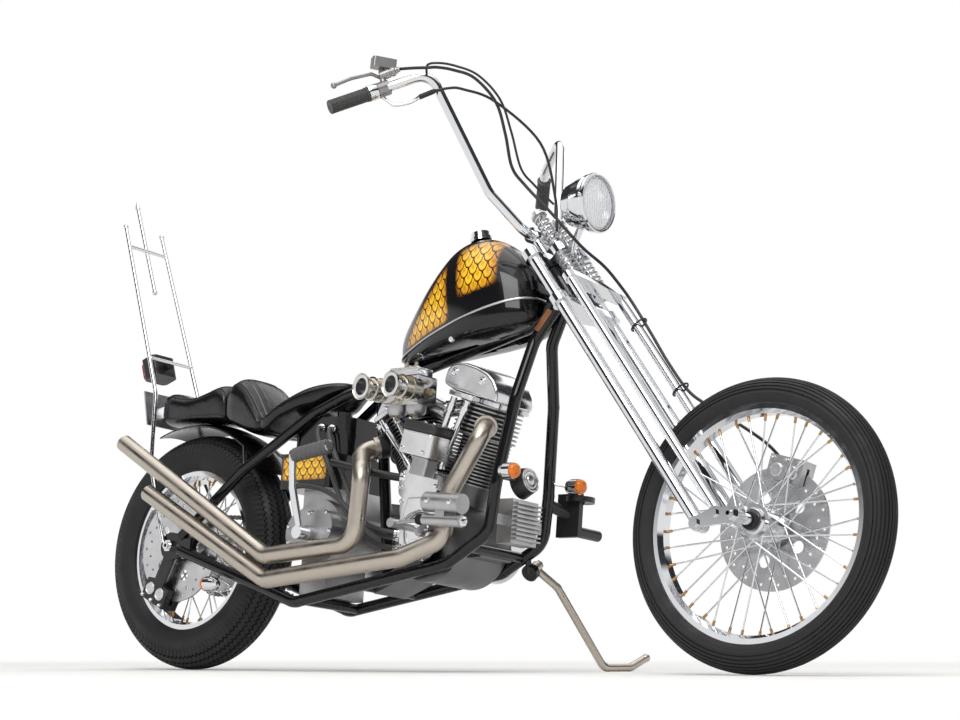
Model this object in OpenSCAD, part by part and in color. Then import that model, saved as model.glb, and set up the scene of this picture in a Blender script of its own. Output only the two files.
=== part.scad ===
// Rigid-frame chopper motorcycle with a springer fork, parked on its side stand.
// Pieces are drawn upright, +X forward, +Y left, +Z up, from the ground below the
// rear axle. Fork pieces are drawn from the steering axis: X ahead of it, Z along it.

/* [Stance] */
// Distance between the wheel axles
wheelbase = 1830; // [1815:1:1850]
// Lean to the left on the side stand, in degrees
lean = 6; // [5:0.5:7]
// Steering turned to the left while parked, in degrees
steer_parked = 3.5; // [2:0.5:5]
// Rake of the steering axis, in degrees from upright
rake = 38.5; // [38:0.1:39]
// Distance from the steering axis to the front axle
fork_offset = 100; // [95:1:105]

/* [Wheels] */
// Outside diameter of the front tyre
front_tyre_d = 690; // [684:1:696]
// Width of the front tyre
front_tyre_w = 80; // [72:1:88]
// Diameter over the lips of the front rim
front_rim_d = 568; // [562:1:574]
// Width over the lips of the front rim
front_rim_w = 54; // [48:1:58]
// Outside diameter of the rear tyre
rear_tyre_d = 644; // [638:1:648]
// Width of the rear tyre
rear_tyre_w = 128; // [120:1:132]
// Diameter over the lips of the rear rim
rear_rim_d = 444; // [436:1:452]
// Width over the lips of the rear rim
rear_rim_w = 90; // [80:1:98]
// Spokes in each wheel
spoke_count = 40; // [32:4:48]
// Diameter of a spoke
spoke_d = 4; // [3:0.5:5]
// Diameter of the brake discs
disc_d = 292; // [280:1:300]
// Thickness of the brake discs
disc_t = 5; // [4:0.5:6]
// Diameter of the front axle
front_axle_d = 18; // [16:1:20]
// Diameter of the rear axle
rear_axle_d = 20; // [18:1:22]
// Diameter of the bores through both axles
axle_bore_d = 10; // [8:1:12]

/* [Frame] */
// Diameter of the frame tubes
tube_d = 30; // [26:1:32]
// Diameter of the backbone and the seat post
backbone_d = 36; // [32:1:38]
// Diameter of the steering head
head_d = 60; // [56:1:66]
// Half the distance between the lower frame rails
rail_y = 106; // [104:1:108]
// Thickness of the rear axle plates
axle_plate_t = 10; // [8:1:12]

/* [Fork] */
// Half the distance between the fork legs
leg_y = 108; // [106:1:112]
// Diameter of the rigid rear legs
rigid_leg_d = 32; // [28:1:34]
// Diameter of the sprung front legs
spring_leg_d = 25; // [22:1:28]
// Distance of the front legs ahead of the steering axis
spring_leg_x = 67; // [64:1:70]
// Distance of the rigid legs ahead of the steering axis
rigid_leg_x = 13; // [11:1:15]
// Thickness of the fork bridges
bridge_t = 24; // [20:1:26]
// Outside diameter of the fork springs
spring_d = 44; // [40:1:46]
// Diameter of the handlebar tube
bar_d = 25; // [22:1:28]
// Diameter of the hand grips
grip_d = 36; // [32:1:40]
// Diameter of the headlight
headlight_d = 147; // [140:1:155]

/* [Engine] */
// Height of the crankshaft above the ground
crank_z = 330; // [326:1:334]
// Distance of the crankshaft ahead of the rear axle
crank_x = 905; // [902:1:908]
// Diameter over the barrel fins
fin_d = 150; // [140:1:156]
// Forward lean of the front cylinder, in degrees
front_cylinder_lean = 17; // [16:0.5:18]
// Angle between the cylinders, in degrees
vee_angle = 45; // [44:0.5:46]
// Diameter of the exhaust pipes
pipe_d = 46; // [40:1:48]

/* [Tank and seat] */
// Half width of the fuel tank
tank_half_w = 110; // [100:1:118]
// Height of the tank above its seam
tank_crown = 227; // [215:1:235]
// Half width of the front seat pad
seat_half_w = 112; // [104:1:120]

/* [Hidden] */
$fn = 48;
// Extra thickness of a welded elbow, and how far a straight reaches into it
weld = 0.8;
weld_in = 1.5;
gap = 0.3;
front_r = front_tyre_d / 2;
rear_r = rear_tyre_d / 2;
axis_ahead = [cos(rake), 0, sin(rake)];
axis_up = [-sin(rake), 0, cos(rake)];
head_base = [wheelbase, 0, front_r] - fork_offset * axis_ahead;
lift = rear_tyre_w / 2 * (1 - cos(lean));

function unit(v) = v / norm(v);
function turn_between(u, v) = acos(max(-1, min(1, u * v)));
function mirror_y(p) = [p.x, -p.y, p.z];

// Point of the upright motorcycle from fork coordinates
function head_point(ahead, side, up) =
    head_base + ahead * axis_ahead + up * axis_up + [0, side, 0];

// Point of the upright motorcycle from a point of the parked one
function upright(w) =
    [w.x, w.y * cos(lean) - (w.z - lift) * sin(lean), w.y * sin(lean) + (w.z - lift) * cos(lean)];

// Heights along the steering axis
lower_bridge = 757;
head_low = 785;
head_high = 905;
top_bridge = 910;
front_bridge = 800;
spring_top = 1040;
stem_d = 40;

// Frame tubes, right side, as corner points
axle_plate_y = 115;
axle_plate_r = 38;
stay_d = tube_d - 2;
cross_tube_d = tube_d - 4;
backbone_tail = [612, 0, 741];
backbone_points = [head_point(0, 0, 850), head_point(-133, 0, 851), backbone_tail];
backbone_bend = 120;
rail_points = [head_point(-26, -14, 829), head_point(-130, -34, 790), [1143, -76, 670], [1122, -rail_y + 2, 450],
    [1112, -rail_y, 330], [985, -rail_y, 258], [470, -rail_y, 166], [34, -axle_plate_y, rear_r - 12]];
rail_bend = 60;
stay_points = [[34, -axle_plate_y, rear_r + 24], [246, -108, 523], [470, -85, 668], [570, -60, 718], [640, -10, 747]];
stay_bend = 80;
seat_post_top = [622, 0, 743];
seat_post_foot = [700, 0, 207];
// Cross tubes; columns: distance ahead of the rear axle, height
crossmembers = [[1050, 296], [700, 207], [500, 172]];

// Wheel details
rim_lip = 4;
rim_lip_h = 12;
rim_well = 9;
flange_t = 6;
spoke_sweep = 62;
disc_holes = 36;
front_hub_r = 22;
front_hub_y = 46;
front_flange_r = 42;
front_flange_y = 36;
front_disc_y = 60;
rear_hub_r = 32;
rear_hub_y = 90;
rear_flange_r = 54;
rear_flange_y = 46;
rear_disc_y = 82;
rear_axle_end = 140;
caliper_cover = 42;
front_caliper_angle = -38;
rear_caliper_angle = 115;

// Final drive on the left
chain_y = 80;
chain_w = 14;
chain_h = 13;
chain_gap = 1;
// How far the straight runs cut inside the arcs round the sprockets
chain_nip = 0.05;
sprocket_t = 6;
rear_sprocket_r = 100;
rear_sprocket_teeth = 48;
gearbox_sprocket_r = 46;
gearbox_x = 520;
gearbox_z = 350;

// Fork details; rocker pivots are given ahead of and along the steering axis
rocker_rear = [15, 45];
rocker_front = [spring_leg_x, 31];
rocker_boss_d = 34;
rocker_pin_d = 14;
rocker_t = 10;
rocker_y = leg_y + rigid_leg_d / 2 + gap;
spring_x = 58;
spring_y = 42;
spring_rod_d = 14;
spring_wire_d = 7;
coil_sides = 6;
coil_steps = 12;
top_bridge_nose = head_d / 2;
bar_points = [[15, 0, 1017], [15, -70, 1017], [20, -150, 1124], [107, -285, 1422], [-10, -363, 1438], [-103, -454, 1432]];
bar_bend = 45;
bar_whole = concat([for (i = [len(bar_points) - 1:-1:1]) mirror_y(bar_points[i])],
    [for (i = [1:len(bar_points) - 1]) bar_points[i]]);
riser_y = 31;
riser_d = 26;
grip_start = 26;
grip_end = 132;
headlight_x = 191;
headlight_z = 980;
headlight_depth = 94;
headlight_foot = [136, 0, 968];

// Point on the right grip, at a distance along it from its inner end
function grip_point(along) =
    bar_points[4] + along * unit(bar_points[5] - bar_points[4]);

// Bodywork
tank_tail = backbone_tail + [103, 0, 64];
tank_tilt = 15.5;
tank_sides = 28;
fuel_cap_along = 290;
// Room round the backbone in the tank's tunnel
tunnel_room = 9.8;
seat_sides = 24;
fender_gap = 26;
fender_crown = 12;
fender_t = 4;
fender_half_w = 74;
fender_front = 35;
fender_rear = 113;
sissy_d = 12;
sissy_y = axle_plate_y + axle_plate_t / 2 + sissy_d / 2 + gap;
sissy_points = [[-22, -sissy_y, rear_r + 8], [-44, -sissy_y, rear_r + 66], [-135, -96, 560],
    [-155, -84, 760], [-362, -70, 1265]];
sissy_cross = [-338, -71, 1205];
spear_low = [-291, 0, 1079];
spear_high = [-398, 0, 1340];
tail_lamp_at = [-232, 0, 820];
tail_lamp_tilt = 20;
tail_lamp_l = 56;
tail_lamp_h = 62;
tail_lamp_stem = 16.7;
tail_lamp_reach = tail_lamp_l / 2 + tail_lamp_stem + gap + (sissy_d - 2) / 2;
tail_lamp_cross = tail_lamp_at + [0, -81, 0] + tail_lamp_reach * [cos(tail_lamp_tilt), 0, sin(tail_lamp_tilt)]
    + tail_lamp_h / 2 * [-sin(tail_lamp_tilt), 0, cos(tail_lamp_tilt)];
plate_at = [-185, 0, 720];

// Engine
case_r = 115;
case_y = 88;
cam_cover_t = 38;
cam_cover_top = 163;
cam_dome_t = 14;
barrel_low = 150;
front_deck_d = 130;
rear_deck_d = 122;
barrel_fins = 13;
barrel_pitch = 9;
fin_t = 3.5;
head_start = 272;
head_fins = 7;
head_pitch = 11;
rocker_box_low = head_start + head_fins * head_pitch + fin_t + gap;
rocker_box_h = 80;
rocker_box_x = 76;
vee_slot = 6;
port_up = 30;
port_turn = 50;
port_reach = fin_d / 2 + 30;
pushrod_y = 96;
rear_cylinder_lean = front_cylinder_lean - vee_angle;
cylinder_leans = [front_cylinder_lean, rear_cylinder_lean];
// Push rods; columns: cylinder lean, place of the top along the rocker box, foot ahead of the crankshaft
pushrods = [[front_cylinder_lean, -48, -2], [front_cylinder_lean, 0, 32],
    [rear_cylinder_lean, -22, -66], [rear_cylinder_lean, 24, -36]];
kick_cover_t = 40;
kick_boss_h = 16;
kick_hub_l = 30;
gearbox_half_w = 95;
kick_y = gearbox_half_w + kick_cover_t + kick_boss_h + gap + kick_hub_l / 2;
carb_at = [840, -130, 690];
carb_pitch = 99;
magneto_at = [crank_x + 22, -164, crank_z + 186];
master_y = 194;
mount_drop = gearbox_z - crossmembers[2][1] - cross_tube_d / 2 - gap;
primary_y = 126;
primary_w = 56;
primary_front_r = 88;
primary_rear_r = 112;

// Exhausts: port face of each cylinder and corner points of each pipe
function port_dir(lean_angle, way) =
    [way * cos(port_turn) * cos(lean_angle), -sin(port_turn), -way * cos(port_turn) * sin(lean_angle)];
function port_face(lean_angle, way) =
    [crank_x, 0, crank_z] + (head_start + port_up) * [sin(lean_angle), 0, cos(lean_angle)]
    + (port_reach + gap) * port_dir(lean_angle, way);
front_port = port_face(front_cylinder_lean, 1);
rear_port = port_face(rear_cylinder_lean, -1);
pipe_y = 190;
front_pipe_points = [front_port, front_port + 52 * port_dir(front_cylinder_lean, 1), [1008, -142, 430], [1002, -152, 310],
    [900, -pipe_y, 262], [442, -pipe_y, 215], [-32, -pipe_y, 459]];
front_pipe_bend = 46;
rear_pipe_points = [rear_port, rear_port + 48 * port_dir(rear_cylinder_lean, -1), [752, -pipe_y, 480], [745, -pipe_y, 302],
    [434, -pipe_y, 277], [-148, -pipe_y, 602]];
rear_pipe_bend = 50;

// Oil tank, electrics and controls
oil_tank_x = 480;
oil_tank_l = 196;
oil_tank_y = 78;
oil_tank_low = 556;
oil_tank_h = 100;
electrics_low = 462;
electrics_y = 118;
kick_points = [[530, -kick_y, 338], [512, -188, 450], [520, -206, 530]];
control_mount = [1121, rail_y - 2, 430];
horn_at = [1128, 0, 470];
horn_arm = rail_y - 6;
regulator_at = [1112, 0, 368];
front_lamp_from = [1127, -98, 482];
front_lamp_to = [1178, -132, 476];
rear_lamp_from = [200, -110, 253];
rear_lamp_to = [196, -142, 214];
fender_strut_top = [200, -71, 594];
fender_strut_foot = [246, -108, 523];
fender_strut_d = 12;

// Side stand; the last three points lie on the ground of the parked motorcycle
stand_d = 20;
stand_rest = (stand_d + weld) / 2;
stand_pin_d = 12;
stand_pin_l = 14;
stand_boss_d = 29;
stand_pivot = [1065, 139, 275];
stand_lug = [1065, rail_y, 302];
stand_axis = [-0.063, 0.821, 0.567];
stand_turn = [0, acos(stand_axis.z / norm(stand_axis)), atan2(stand_axis.y, stand_axis.x)];
stand_points = [stand_pivot, [1100, 190, 232], upright([1160, 325, stand_rest]), upright([1190, 398, stand_rest]),
    upright([1208, 440, 34])];

// Cable routes, from the steering axis
cable_sides = 8;
throttle_route = [[-11, -338, 1418], [-3, -328, 1395], [30, -312, 1378], [70, -298, 1376], [118, -262, 1364],
    [140, -232, 1350], [169, -165, 1305], [173, -60, 1193], [108, 0, 1085], [66, 0, 1010], [40, 0, 962], [25, 0, 938]];
brake_route = [[62, -332, 1462], [92, -328, 1436], [121, -318, 1412], [137, -300, 1405], [158, -270, 1387], [180, -232, 1352], [178, -190, 1283],
    [143, -160, 1213], [100, -130, 1148], [94, -104, 1098], [102, -72, 1000], [106, -30, 896], [104, 40, 850], [94, 92, 800],
    [90, 108, 749], [88, 108, 660], [84.2, 108, 560], [88, 108, 466], [108, 108, 400], [150, 108, 300], [185, 104, 200], [198, 96, 110]];
switch_route = [[102.6, -299.9, 1414.6], [124, -316, 1420], [146, -304, 1410], [168, -272, 1392], [192, -232, 1350], [190, -186, 1283],
    [156, -150, 1213], [112, -112, 1140], [106, -80, 1098], [108, -40, 1040]];

// Half the reach of the parked motorcycle, so that its box is centred on the origin
origin_x = (wheelbase + front_r + spear_high.x - 12) / 2;
origin_y = head_point(bar_points[5].x, 0, bar_points[5].z).z * sin(lean);

// Places an upright piece where the parked motorcycle has it
module parked() {
    translate([-origin_x, -origin_y, lift]) rotate([-lean, 0, 0]) children();
}

// Places a piece drawn from the steering axis, turned with the fork
module fork_frame() {
    parked() translate(head_base) rotate([0, -rake, 0]) rotate([0, 0, steer_parked]) children();
}

// Places a piece drawn round a wheel axle, with Z along the axle to the left
module rear_axle_frame() {
    parked() translate([0, 0, rear_r]) rotate([-90, 0, 0]) children();
}

module front_axle_frame() {
    fork_frame() translate([fork_offset, 0, 0]) rotate([-90, 0, 0]) children();
}

// Straight round bar between two points
module rod(a, b, d) {
    v = b - a;
    translate(a) rotate([0, acos(v.z / norm(v)), atan2(v.y, v.x)]) cylinder(h = norm(v), d = d);
}

// Round elbow about corner p, from direction u to direction v
module elbow(p, u, v, d, bend) {
    turn = turn_between(u, v);
    start = p - u * bend * tan(turn / 2);
    centre = p + unit(v - u) * bend / cos(turn / 2);
    x = unit(start - centre);
    z = unit(cross(u, v));
    y = cross(z, x);
    multmatrix([[x.x, y.x, z.x, centre.x], [x.y, y.y, z.y, centre.y], [x.z, y.z, z.z, centre.z]])
        rotate_extrude(angle = turn) translate([bend, 0]) circle(d = d);
}

// Round tube through points, with every corner bent to one radius and welded to the straights
module bent_tube(points, d, bend) {
    last = len(points) - 1;
    dirs = [for (i = [0:last - 1]) unit(points[i + 1] - points[i])];
    trims = [for (i = [0:last]) i == 0 || i == last ? 0 : bend * tan(turn_between(dirs[i - 1], dirs[i]) / 2)];
    for (i = [0:last - 1])
        rod(points[i] + dirs[i] * (i == 0 ? 0 : trims[i] - weld_in),
            points[i + 1] - dirs[i] * (i == last - 1 ? 0 : trims[i + 1] - weld_in), d);
    for (i = [1:last - 1])
        elbow(points[i], dirs[i - 1], dirs[i], d + weld, bend);
}

// Closed solid through rings of points that all have the same count
module loft(rings) {
    n = len(rings[0]);
    m = len(rings);
    points = [for (ring = rings) each ring];
    sides = [for (j = [0:m - 2]) for (i = [0:n - 1])
        [j * n + i, j * n + (i + 1) % n, (j + 1) * n + (i + 1) % n, (j + 1) * n + i]];
    first = [for (i = [n - 1:-1:0]) i];
    final = [for (i = [0:n - 1]) (m - 1) * n + i];
    polyhedron(points, concat(sides, [first, final]));
}

// Flat plate outline with round corners
module rounded_rect(w, h, r) {
    square([w - 2 * r, h], center = true);
    square([w, h - 2 * r], center = true);
    for (x = [-1, 1]) for (y = [-1, 1]) translate([x * (w / 2 - r), y * (h / 2 - r)]) circle(r);
}

// Box with round upright edges, standing on its base
module rounded_box(w, l, h, r) {
    linear_extrude(h) rounded_rect(w, l, r);
}

// Draws children on the right and on the left
module both_sides() {
    children();
    mirror([0, 1, 0]) children();
}

// Frame

module at_head() {
    translate(head_base) rotate([0, -rake, 0]) children();
}

module head_solid(extra = 0) {
    at_head() translate([0, 0, head_low]) cylinder(h = head_high - head_low, d = head_d + extra);
}

module backbone_solid(extra = 0) {
    bent_tube(backbone_points, backbone_d + extra, backbone_bend);
}

module seat_post_solid(extra = 0) {
    rod(seat_post_top, seat_post_foot, tube_d + extra);
}

module rail_solid(extra = 0) {
    bent_tube(rail_points, tube_d + extra, rail_bend);
}

module frame_head() {
    color("black") parked() difference() {
        union() {
            head_solid();
            backbone_solid();
        }
        at_head() translate([0, 0, head_low - 60]) cylinder(h = head_high - head_low + 120, d = stem_d + 2 * gap);
        at_head() translate([0, 0, head_high]) cylinder(h = 60, d = 2 * head_d);
    }
}

module axle_plate_outline(extra = 0) {
    circle(r = axle_plate_r + extra);
    translate([axle_plate_r, 0]) square([2 * axle_plate_r, axle_plate_r] + [2, 2] * extra, center = true);
}

// Outline of the right axle plate made solid, larger by a clearance
module axle_plate_solid(extra = 0) {
    translate([0, -axle_plate_y + axle_plate_t / 2 + extra, rear_r]) rotate([90, 0, 0])
        linear_extrude(axle_plate_t + 2 * extra) axle_plate_outline(extra);
}

module rail_tube() {
    difference() {
        rail_solid();
        head_solid(2 * gap);
        backbone_solid(2 * gap);
        axle_plate_solid(gap);
    }
}

module stay_tube() {
    difference() {
        bent_tube(stay_points, stay_d, stay_bend);
        backbone_solid(2 * gap);
    }
}

// Lower rails with the downtubes; the left one carries the pivot of the side stand
module frame_rails() {
    color("black") parked() {
        rail_tube();
        mirror([0, 1, 0]) rail_tube();
        stand_bracket();
    }
}

module stand_bracket() {
    translate(stand_pivot) rotate(stand_turn) {
        translate([0, 0, -stand_pin_l - 16]) cylinder(h = 16, d = 44);
        translate([0, 0, -stand_pin_l - 1]) cylinder(h = 2 * stand_pin_l + 1, d = stand_pin_d);
        translate([0, 0, stand_pin_l]) cylinder(h = 8, d = stand_pin_d + 12, $fn = 6);
    }
    rod(stand_pivot - (stand_pin_l + 14) * unit(stand_axis), stand_lug, 16);
}

// Upper rear stays, fused to the plates that hold the rear axle
module frame_stays() {
    color("black") parked() both_sides() difference() {
        union() {
            stay_tube();
            axle_plate_solid();
        }
        translate([0, 0, rear_r]) rotate([90, 0, 0])
            cylinder(h = 2 * axle_plate_y, d = rear_axle_d + 2 * gap);
    }
}

// Seat post and the cross tubes between the lower rails
module frame_crossmembers() {
    color("black") parked() difference() {
        union() {
            for (c = crossmembers) rod([c[0], -rail_y, c[1]], [c[0], rail_y, c[1]], cross_tube_d);
            seat_post_solid();
        }
        both_sides() {
            rail_solid(2 * gap);
            bent_tube(stay_points, stay_d + 2 * gap, stay_bend);
        }
        backbone_solid(2 * gap);
    }
}

// Wheels, drawn round the axle with Z to the left

// Tyre section: round crown on straight walls that stand inside the rim lips
module tyre_section(r, w, rim_r, rim_w) {
    bead_w = rim_w / 2 - rim_lip - gap;
    intersection() {
        translate([r - w / 2, 0]) circle(d = w, $fn = 64);
        translate([rim_r + 4, -w]) square([r, 2 * w]);
    }
    polygon([[rim_r - rim_lip_h + gap, -bead_w], [rim_r + gap, -bead_w], [rim_r + 4, -rim_w / 2 + 1],
             [r - w / 2, -w / 2], [r - w / 2, w / 2], [rim_r + 4, rim_w / 2 - 1],
             [rim_r + gap, bead_w], [rim_r - rim_lip_h + gap, bead_w]]);
}

// Rim section: lips, bead seats and a dropped well
module rim_section(rim_r, rim_w) {
    lip = rim_w / 2 - rim_lip;
    seat = rim_r - rim_lip_h;
    well = seat - rim_well;
    polygon([[rim_r, -rim_w / 2], [rim_r, -lip], [seat, -lip], [well, -rim_w / 5], [well, rim_w / 5],
             [seat, lip], [rim_r, lip], [rim_r, rim_w / 2], [seat - 5, rim_w / 2],
             [well - 5, rim_w / 4], [well - 5, -rim_w / 4], [seat - 5, -rim_w / 2]]);
}

// Laced spokes: pairs lean forwards and back in turn on each flange
module spokes(flange_r, flange_y, rim_r, count) {
    step = 360 / count;
    for (i = [0:count - 1]) {
        side = i % 2 == 0 ? 1 : -1;
        sweep = (floor(i / 2) % 2 == 0 ? 1 : -1) * spoke_sweep;
        hub_angle = i * step + sweep;
        rim_angle = i * step;
        rod([flange_r * cos(hub_angle), flange_r * sin(hub_angle), side * flange_y],
            [rim_r * cos(rim_angle), rim_r * sin(rim_angle), side * 5], spoke_d);
    }
}

// Hub: barrel with two spoke flanges, bored for its axle
module hub(low, high, barrel_r, flange_r, flange_y, bore_d) {
    difference() {
        union() {
            translate([0, 0, low]) cylinder(h = high - low, r = barrel_r);
            for (y = [-flange_y, flange_y]) translate([0, 0, y - flange_t / 2]) cylinder(h = flange_t, r = flange_r);
        }
        translate([0, 0, low - 1]) cylinder(h = high - low + 2, d = bore_d);
    }
}

module brake_disc(y, hub_r) {
    translate([0, 0, y - disc_t / 2]) difference() {
        cylinder(h = disc_t, d = disc_d);
        translate([0, 0, -1]) cylinder(h = disc_t + 2, r = hub_r);
        for (i = [0:disc_holes - 1]) rotate([0, 0, i * 360 / disc_holes])
            translate([disc_d / 2 - (i % 2 == 0 ? 14 : 30), 0, -1]) cylinder(h = disc_t + 2, d = 8);
        for (i = [0:4]) rotate([0, 0, i * 72]) translate([disc_d / 4 + 6, 0, -1])
            cylinder(h = disc_t + 2, d = 30);
    }
}

module front_tyre() {
    color("black") front_axle_frame() rotate_extrude($fn = 96)
        tyre_section(front_r, front_tyre_w, front_rim_d / 2, front_rim_w);
}

module front_wheel() {
    color("silver") front_axle_frame() {
        rotate_extrude($fn = 96) rim_section(front_rim_d / 2, front_rim_w);
        hub(-front_hub_y, front_hub_y, front_hub_r, front_flange_r, front_flange_y, front_axle_d + 0.1);
        spokes(front_flange_r - 5, front_flange_y, front_rim_d / 2 - rim_lip_h - rim_well - 3, spoke_count);
    }
}

module front_disc() {
    color("silver") front_axle_frame() {
        brake_disc(front_disc_y, front_hub_r + gap);
        difference() {
            translate([0, 0, front_flange_y + flange_t / 2])
                cylinder(h = front_disc_y - disc_t / 2 - front_flange_y - flange_t / 2, r = front_hub_r + 12);
            cylinder(h = front_disc_y, r = front_hub_r + gap);
        }
    }
}

module rear_tyre() {
    color("black") rear_axle_frame() rotate_extrude($fn = 96)
        tyre_section(rear_r, rear_tyre_w, rear_rim_d / 2, rear_rim_w);
}

module rear_wheel() {
    color("silver") rear_axle_frame() {
        rotate_extrude($fn = 96) rim_section(rear_rim_d / 2, rear_rim_w);
        hub(-rear_hub_y, rear_hub_y, rear_hub_r, rear_flange_r, rear_flange_y, rear_axle_d + 0.1);
        spokes(rear_flange_r - 5, rear_flange_y, rear_rim_d / 2 - rim_lip_h - rim_well - 3, spoke_count);
    }
}

module rear_disc() {
    color("silver") rear_axle_frame() {
        brake_disc(-rear_disc_y, rear_hub_r + gap);
        difference() {
            translate([0, 0, -rear_disc_y + disc_t / 2])
                cylinder(h = rear_disc_y - disc_t / 2 - rear_flange_y - flange_t / 2, r = rear_hub_r + 12);
            translate([0, 0, -rear_disc_y]) cylinder(h = rear_disc_y, r = rear_hub_r + gap);
        }
    }
}

// Toothed wheel of the final drive
module sprocket(r, teeth, t, bore_r) {
    linear_extrude(t, center = true) difference() {
        circle(r = r);
        circle(r = bore_r);
        for (i = [0:teeth - 1]) rotate(i * 360 / teeth) translate([r + 2, 0]) circle(d = 11);
    }
}

module rear_sprocket() {
    color("dimgray") rear_axle_frame() {
        translate([0, 0, chain_y]) sprocket(rear_sprocket_r, rear_sprocket_teeth, sprocket_t, rear_hub_r + gap);
        difference() {
            translate([0, 0, rear_flange_y + flange_t / 2])
                cylinder(h = chain_y - sprocket_t / 2 - rear_flange_y - flange_t / 2, r = rear_hub_r + 14);
            cylinder(h = chain_y, r = rear_hub_r + gap);
        }
    }
}

module rear_axle() {
    color("silver") rear_axle_frame() difference() {
        union() {
            translate([0, 0, -rear_axle_end]) cylinder(h = 2 * rear_axle_end, d = rear_axle_d);
            for (s = [-1, 1]) translate([0, 0, s * (axle_plate_y + axle_plate_t / 2 + gap + 6)])
                cylinder(h = 12, d = rear_axle_d + 14, center = true, $fn = 6);
            for (s = [-1, 1]) translate([0, 0, s * (axle_plate_y - axle_plate_t / 2 + rear_hub_y) / 2])
                cylinder(h = axle_plate_y - axle_plate_t / 2 - rear_hub_y - 4 * gap, d = rear_axle_d + 10, center = true);
        }
        translate([0, 0, -rear_axle_end - 1]) cylinder(h = 2 * rear_axle_end + 2, d = axle_bore_d);
    }
}

// Drive chain: link loop round the gearbox and wheel sprockets, on the left
module chain_outline(r_gap) {
    v = [gearbox_x, gearbox_z - rear_r];
    reach = norm(v);
    pitch = atan2(v.y, v.x);
    spread = asin((rear_sprocket_r - gearbox_sprocket_r) / reach);
    big = rear_sprocket_r + r_gap;
    small = gearbox_sprocket_r + r_gap;
    side = 90 - spread;
    rear_corner = (big - chain_nip) * [cos(side), sin(side)];
    front_corner = (small - chain_nip) * [cos(side), sin(side)];
    rotate(pitch) {
        circle(r = big, $fn = 96);
        translate([reach, 0]) circle(r = small);
        polygon([rear_corner, [rear_corner.x, -rear_corner.y],
                 [reach + front_corner.x, -front_corner.y], [reach + front_corner.x, front_corner.y]]);
    }
}

module drive_chain() {
    color("dimgray") parked() translate([0, chain_y - chain_w / 2, rear_r]) rotate([-90, 0, 0])
        mirror([0, 1, 0]) linear_extrude(chain_w) difference() {
            chain_outline(chain_h + chain_gap);
            chain_outline(chain_gap);
        }
}

// Fork, drawn from the steering axis

module rigid_leg(extra = 0) {
    translate([rigid_leg_x, -leg_y, rocker_rear.y]) cylinder(h = top_bridge + bridge_t + 6 - rocker_rear.y, d = rigid_leg_d + extra);
}

module fork_rigid_legs() {
    color("silver") fork_frame() both_sides() difference() {
        union() {
            rigid_leg();
            translate([rigid_leg_x, -leg_y, rocker_rear.y]) rotate([90, 0, 0])
                cylinder(h = rigid_leg_d - 2, d = rocker_boss_d, center = true);
        }
        translate([rocker_rear.x, 0, rocker_rear.y]) rotate([90, 0, 0])
            cylinder(h = leg_y + rigid_leg_d, d = rocker_pin_d + 2 * gap);
    }
}

// Outline of a fork bridge: bosses round the legs and the stem, joined by arms
module bridge_outline(front_boss) {
    circle(d = head_d);
    for (s = [-1, 1]) translate([rigid_leg_x, s * leg_y]) circle(d = rigid_leg_d + 16);
    polygon([[-head_d / 2 + 8, 0], [rigid_leg_x - 18, leg_y], [rigid_leg_x + 18, leg_y], [head_d / 2 - 2, 0],
             [rigid_leg_x + 18, -leg_y], [rigid_leg_x - 18, -leg_y]]);
    if (front_boss) for (s = [-1, 1]) {
        translate([spring_x, s * spring_y]) circle(d = spring_d + 6);
        translate([spring_x / 2, s * spring_y]) square([spring_x, spring_d], center = true);
    }
}

module fork_bridges() {
    color("silver") fork_frame() difference() {
        union() {
            translate([0, 0, lower_bridge]) linear_extrude(bridge_t) bridge_outline(false);
            translate([0, 0, top_bridge]) linear_extrude(bridge_t) bridge_outline(true);
            translate([0, 0, lower_bridge + bridge_t / 2]) cylinder(h = top_bridge - lower_bridge + bridge_t / 2 + 20, d = stem_d);
            both_sides() bar_riser();
        }
        rod(mirror_y(bar_points[1]), bar_points[1], bar_d + 2 * gap);
        both_sides() rigid_leg(2 * gap);
        for (s = [-1, 1]) translate([spring_x, s * spring_y, top_bridge - 1])
            cylinder(h = bridge_t + 2, d = spring_rod_d + 2 * gap);
    }
}

// Clamp that holds the handlebar on the top bridge
module bar_riser() {
    base = top_bridge + bridge_t / 2;
    height = bar_points[0].z - base;
    translate([bar_points[0].x, -riser_y, base]) {
        cylinder(h = height, d = riser_d);
        translate([0, 0, height]) rotate([90, 0, 0]) cylinder(h = riser_d + 4, d = bar_d + 16, center = true);
    }
}

module fork_front_legs() {
    color("silver") fork_frame() difference() {
        union() {
            both_sides() {
                translate([spring_leg_x, -leg_y, rocker_front.y]) cylinder(h = front_bridge - rocker_front.y, d = spring_leg_d);
                translate([rocker_front.x, -leg_y, rocker_front.y]) rotate([90, 0, 0])
                    cylinder(h = spring_leg_d - 1, d = rocker_boss_d, center = true);
                translate([spring_x, -spring_y, front_bridge]) cylinder(h = spring_top - front_bridge + 10, d = spring_rod_d);
            }
            translate([0, 0, front_bridge - 10]) linear_extrude(18) {
                translate([spring_leg_x, 0]) square([spring_leg_d + 8, 2 * leg_y], center = true);
                for (s = [-1, 1]) translate([spring_leg_x, s * leg_y]) circle(d = spring_leg_d + 8);
                for (s = [-1, 1]) translate([spring_x, s * spring_y]) circle(d = spring_d + 4);
            }
        }
        translate([rocker_front.x, 0, rocker_front.y]) rotate([90, 0, 0])
            cylinder(h = 4 * leg_y, d = rocker_pin_d + 2 * gap, center = true);
    }
}

// Ring of points of a coil spring's wire at one place along the coil
function coil_ring(turn, r, wire_d, rise) =
    [for (k = [0:coil_sides - 1])
        let (a = 360 * k / coil_sides, q = r + wire_d / 2 * cos(a))
        [q * cos(turn), q * sin(turn), rise + wire_d / 2 * sin(a)]];

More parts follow.
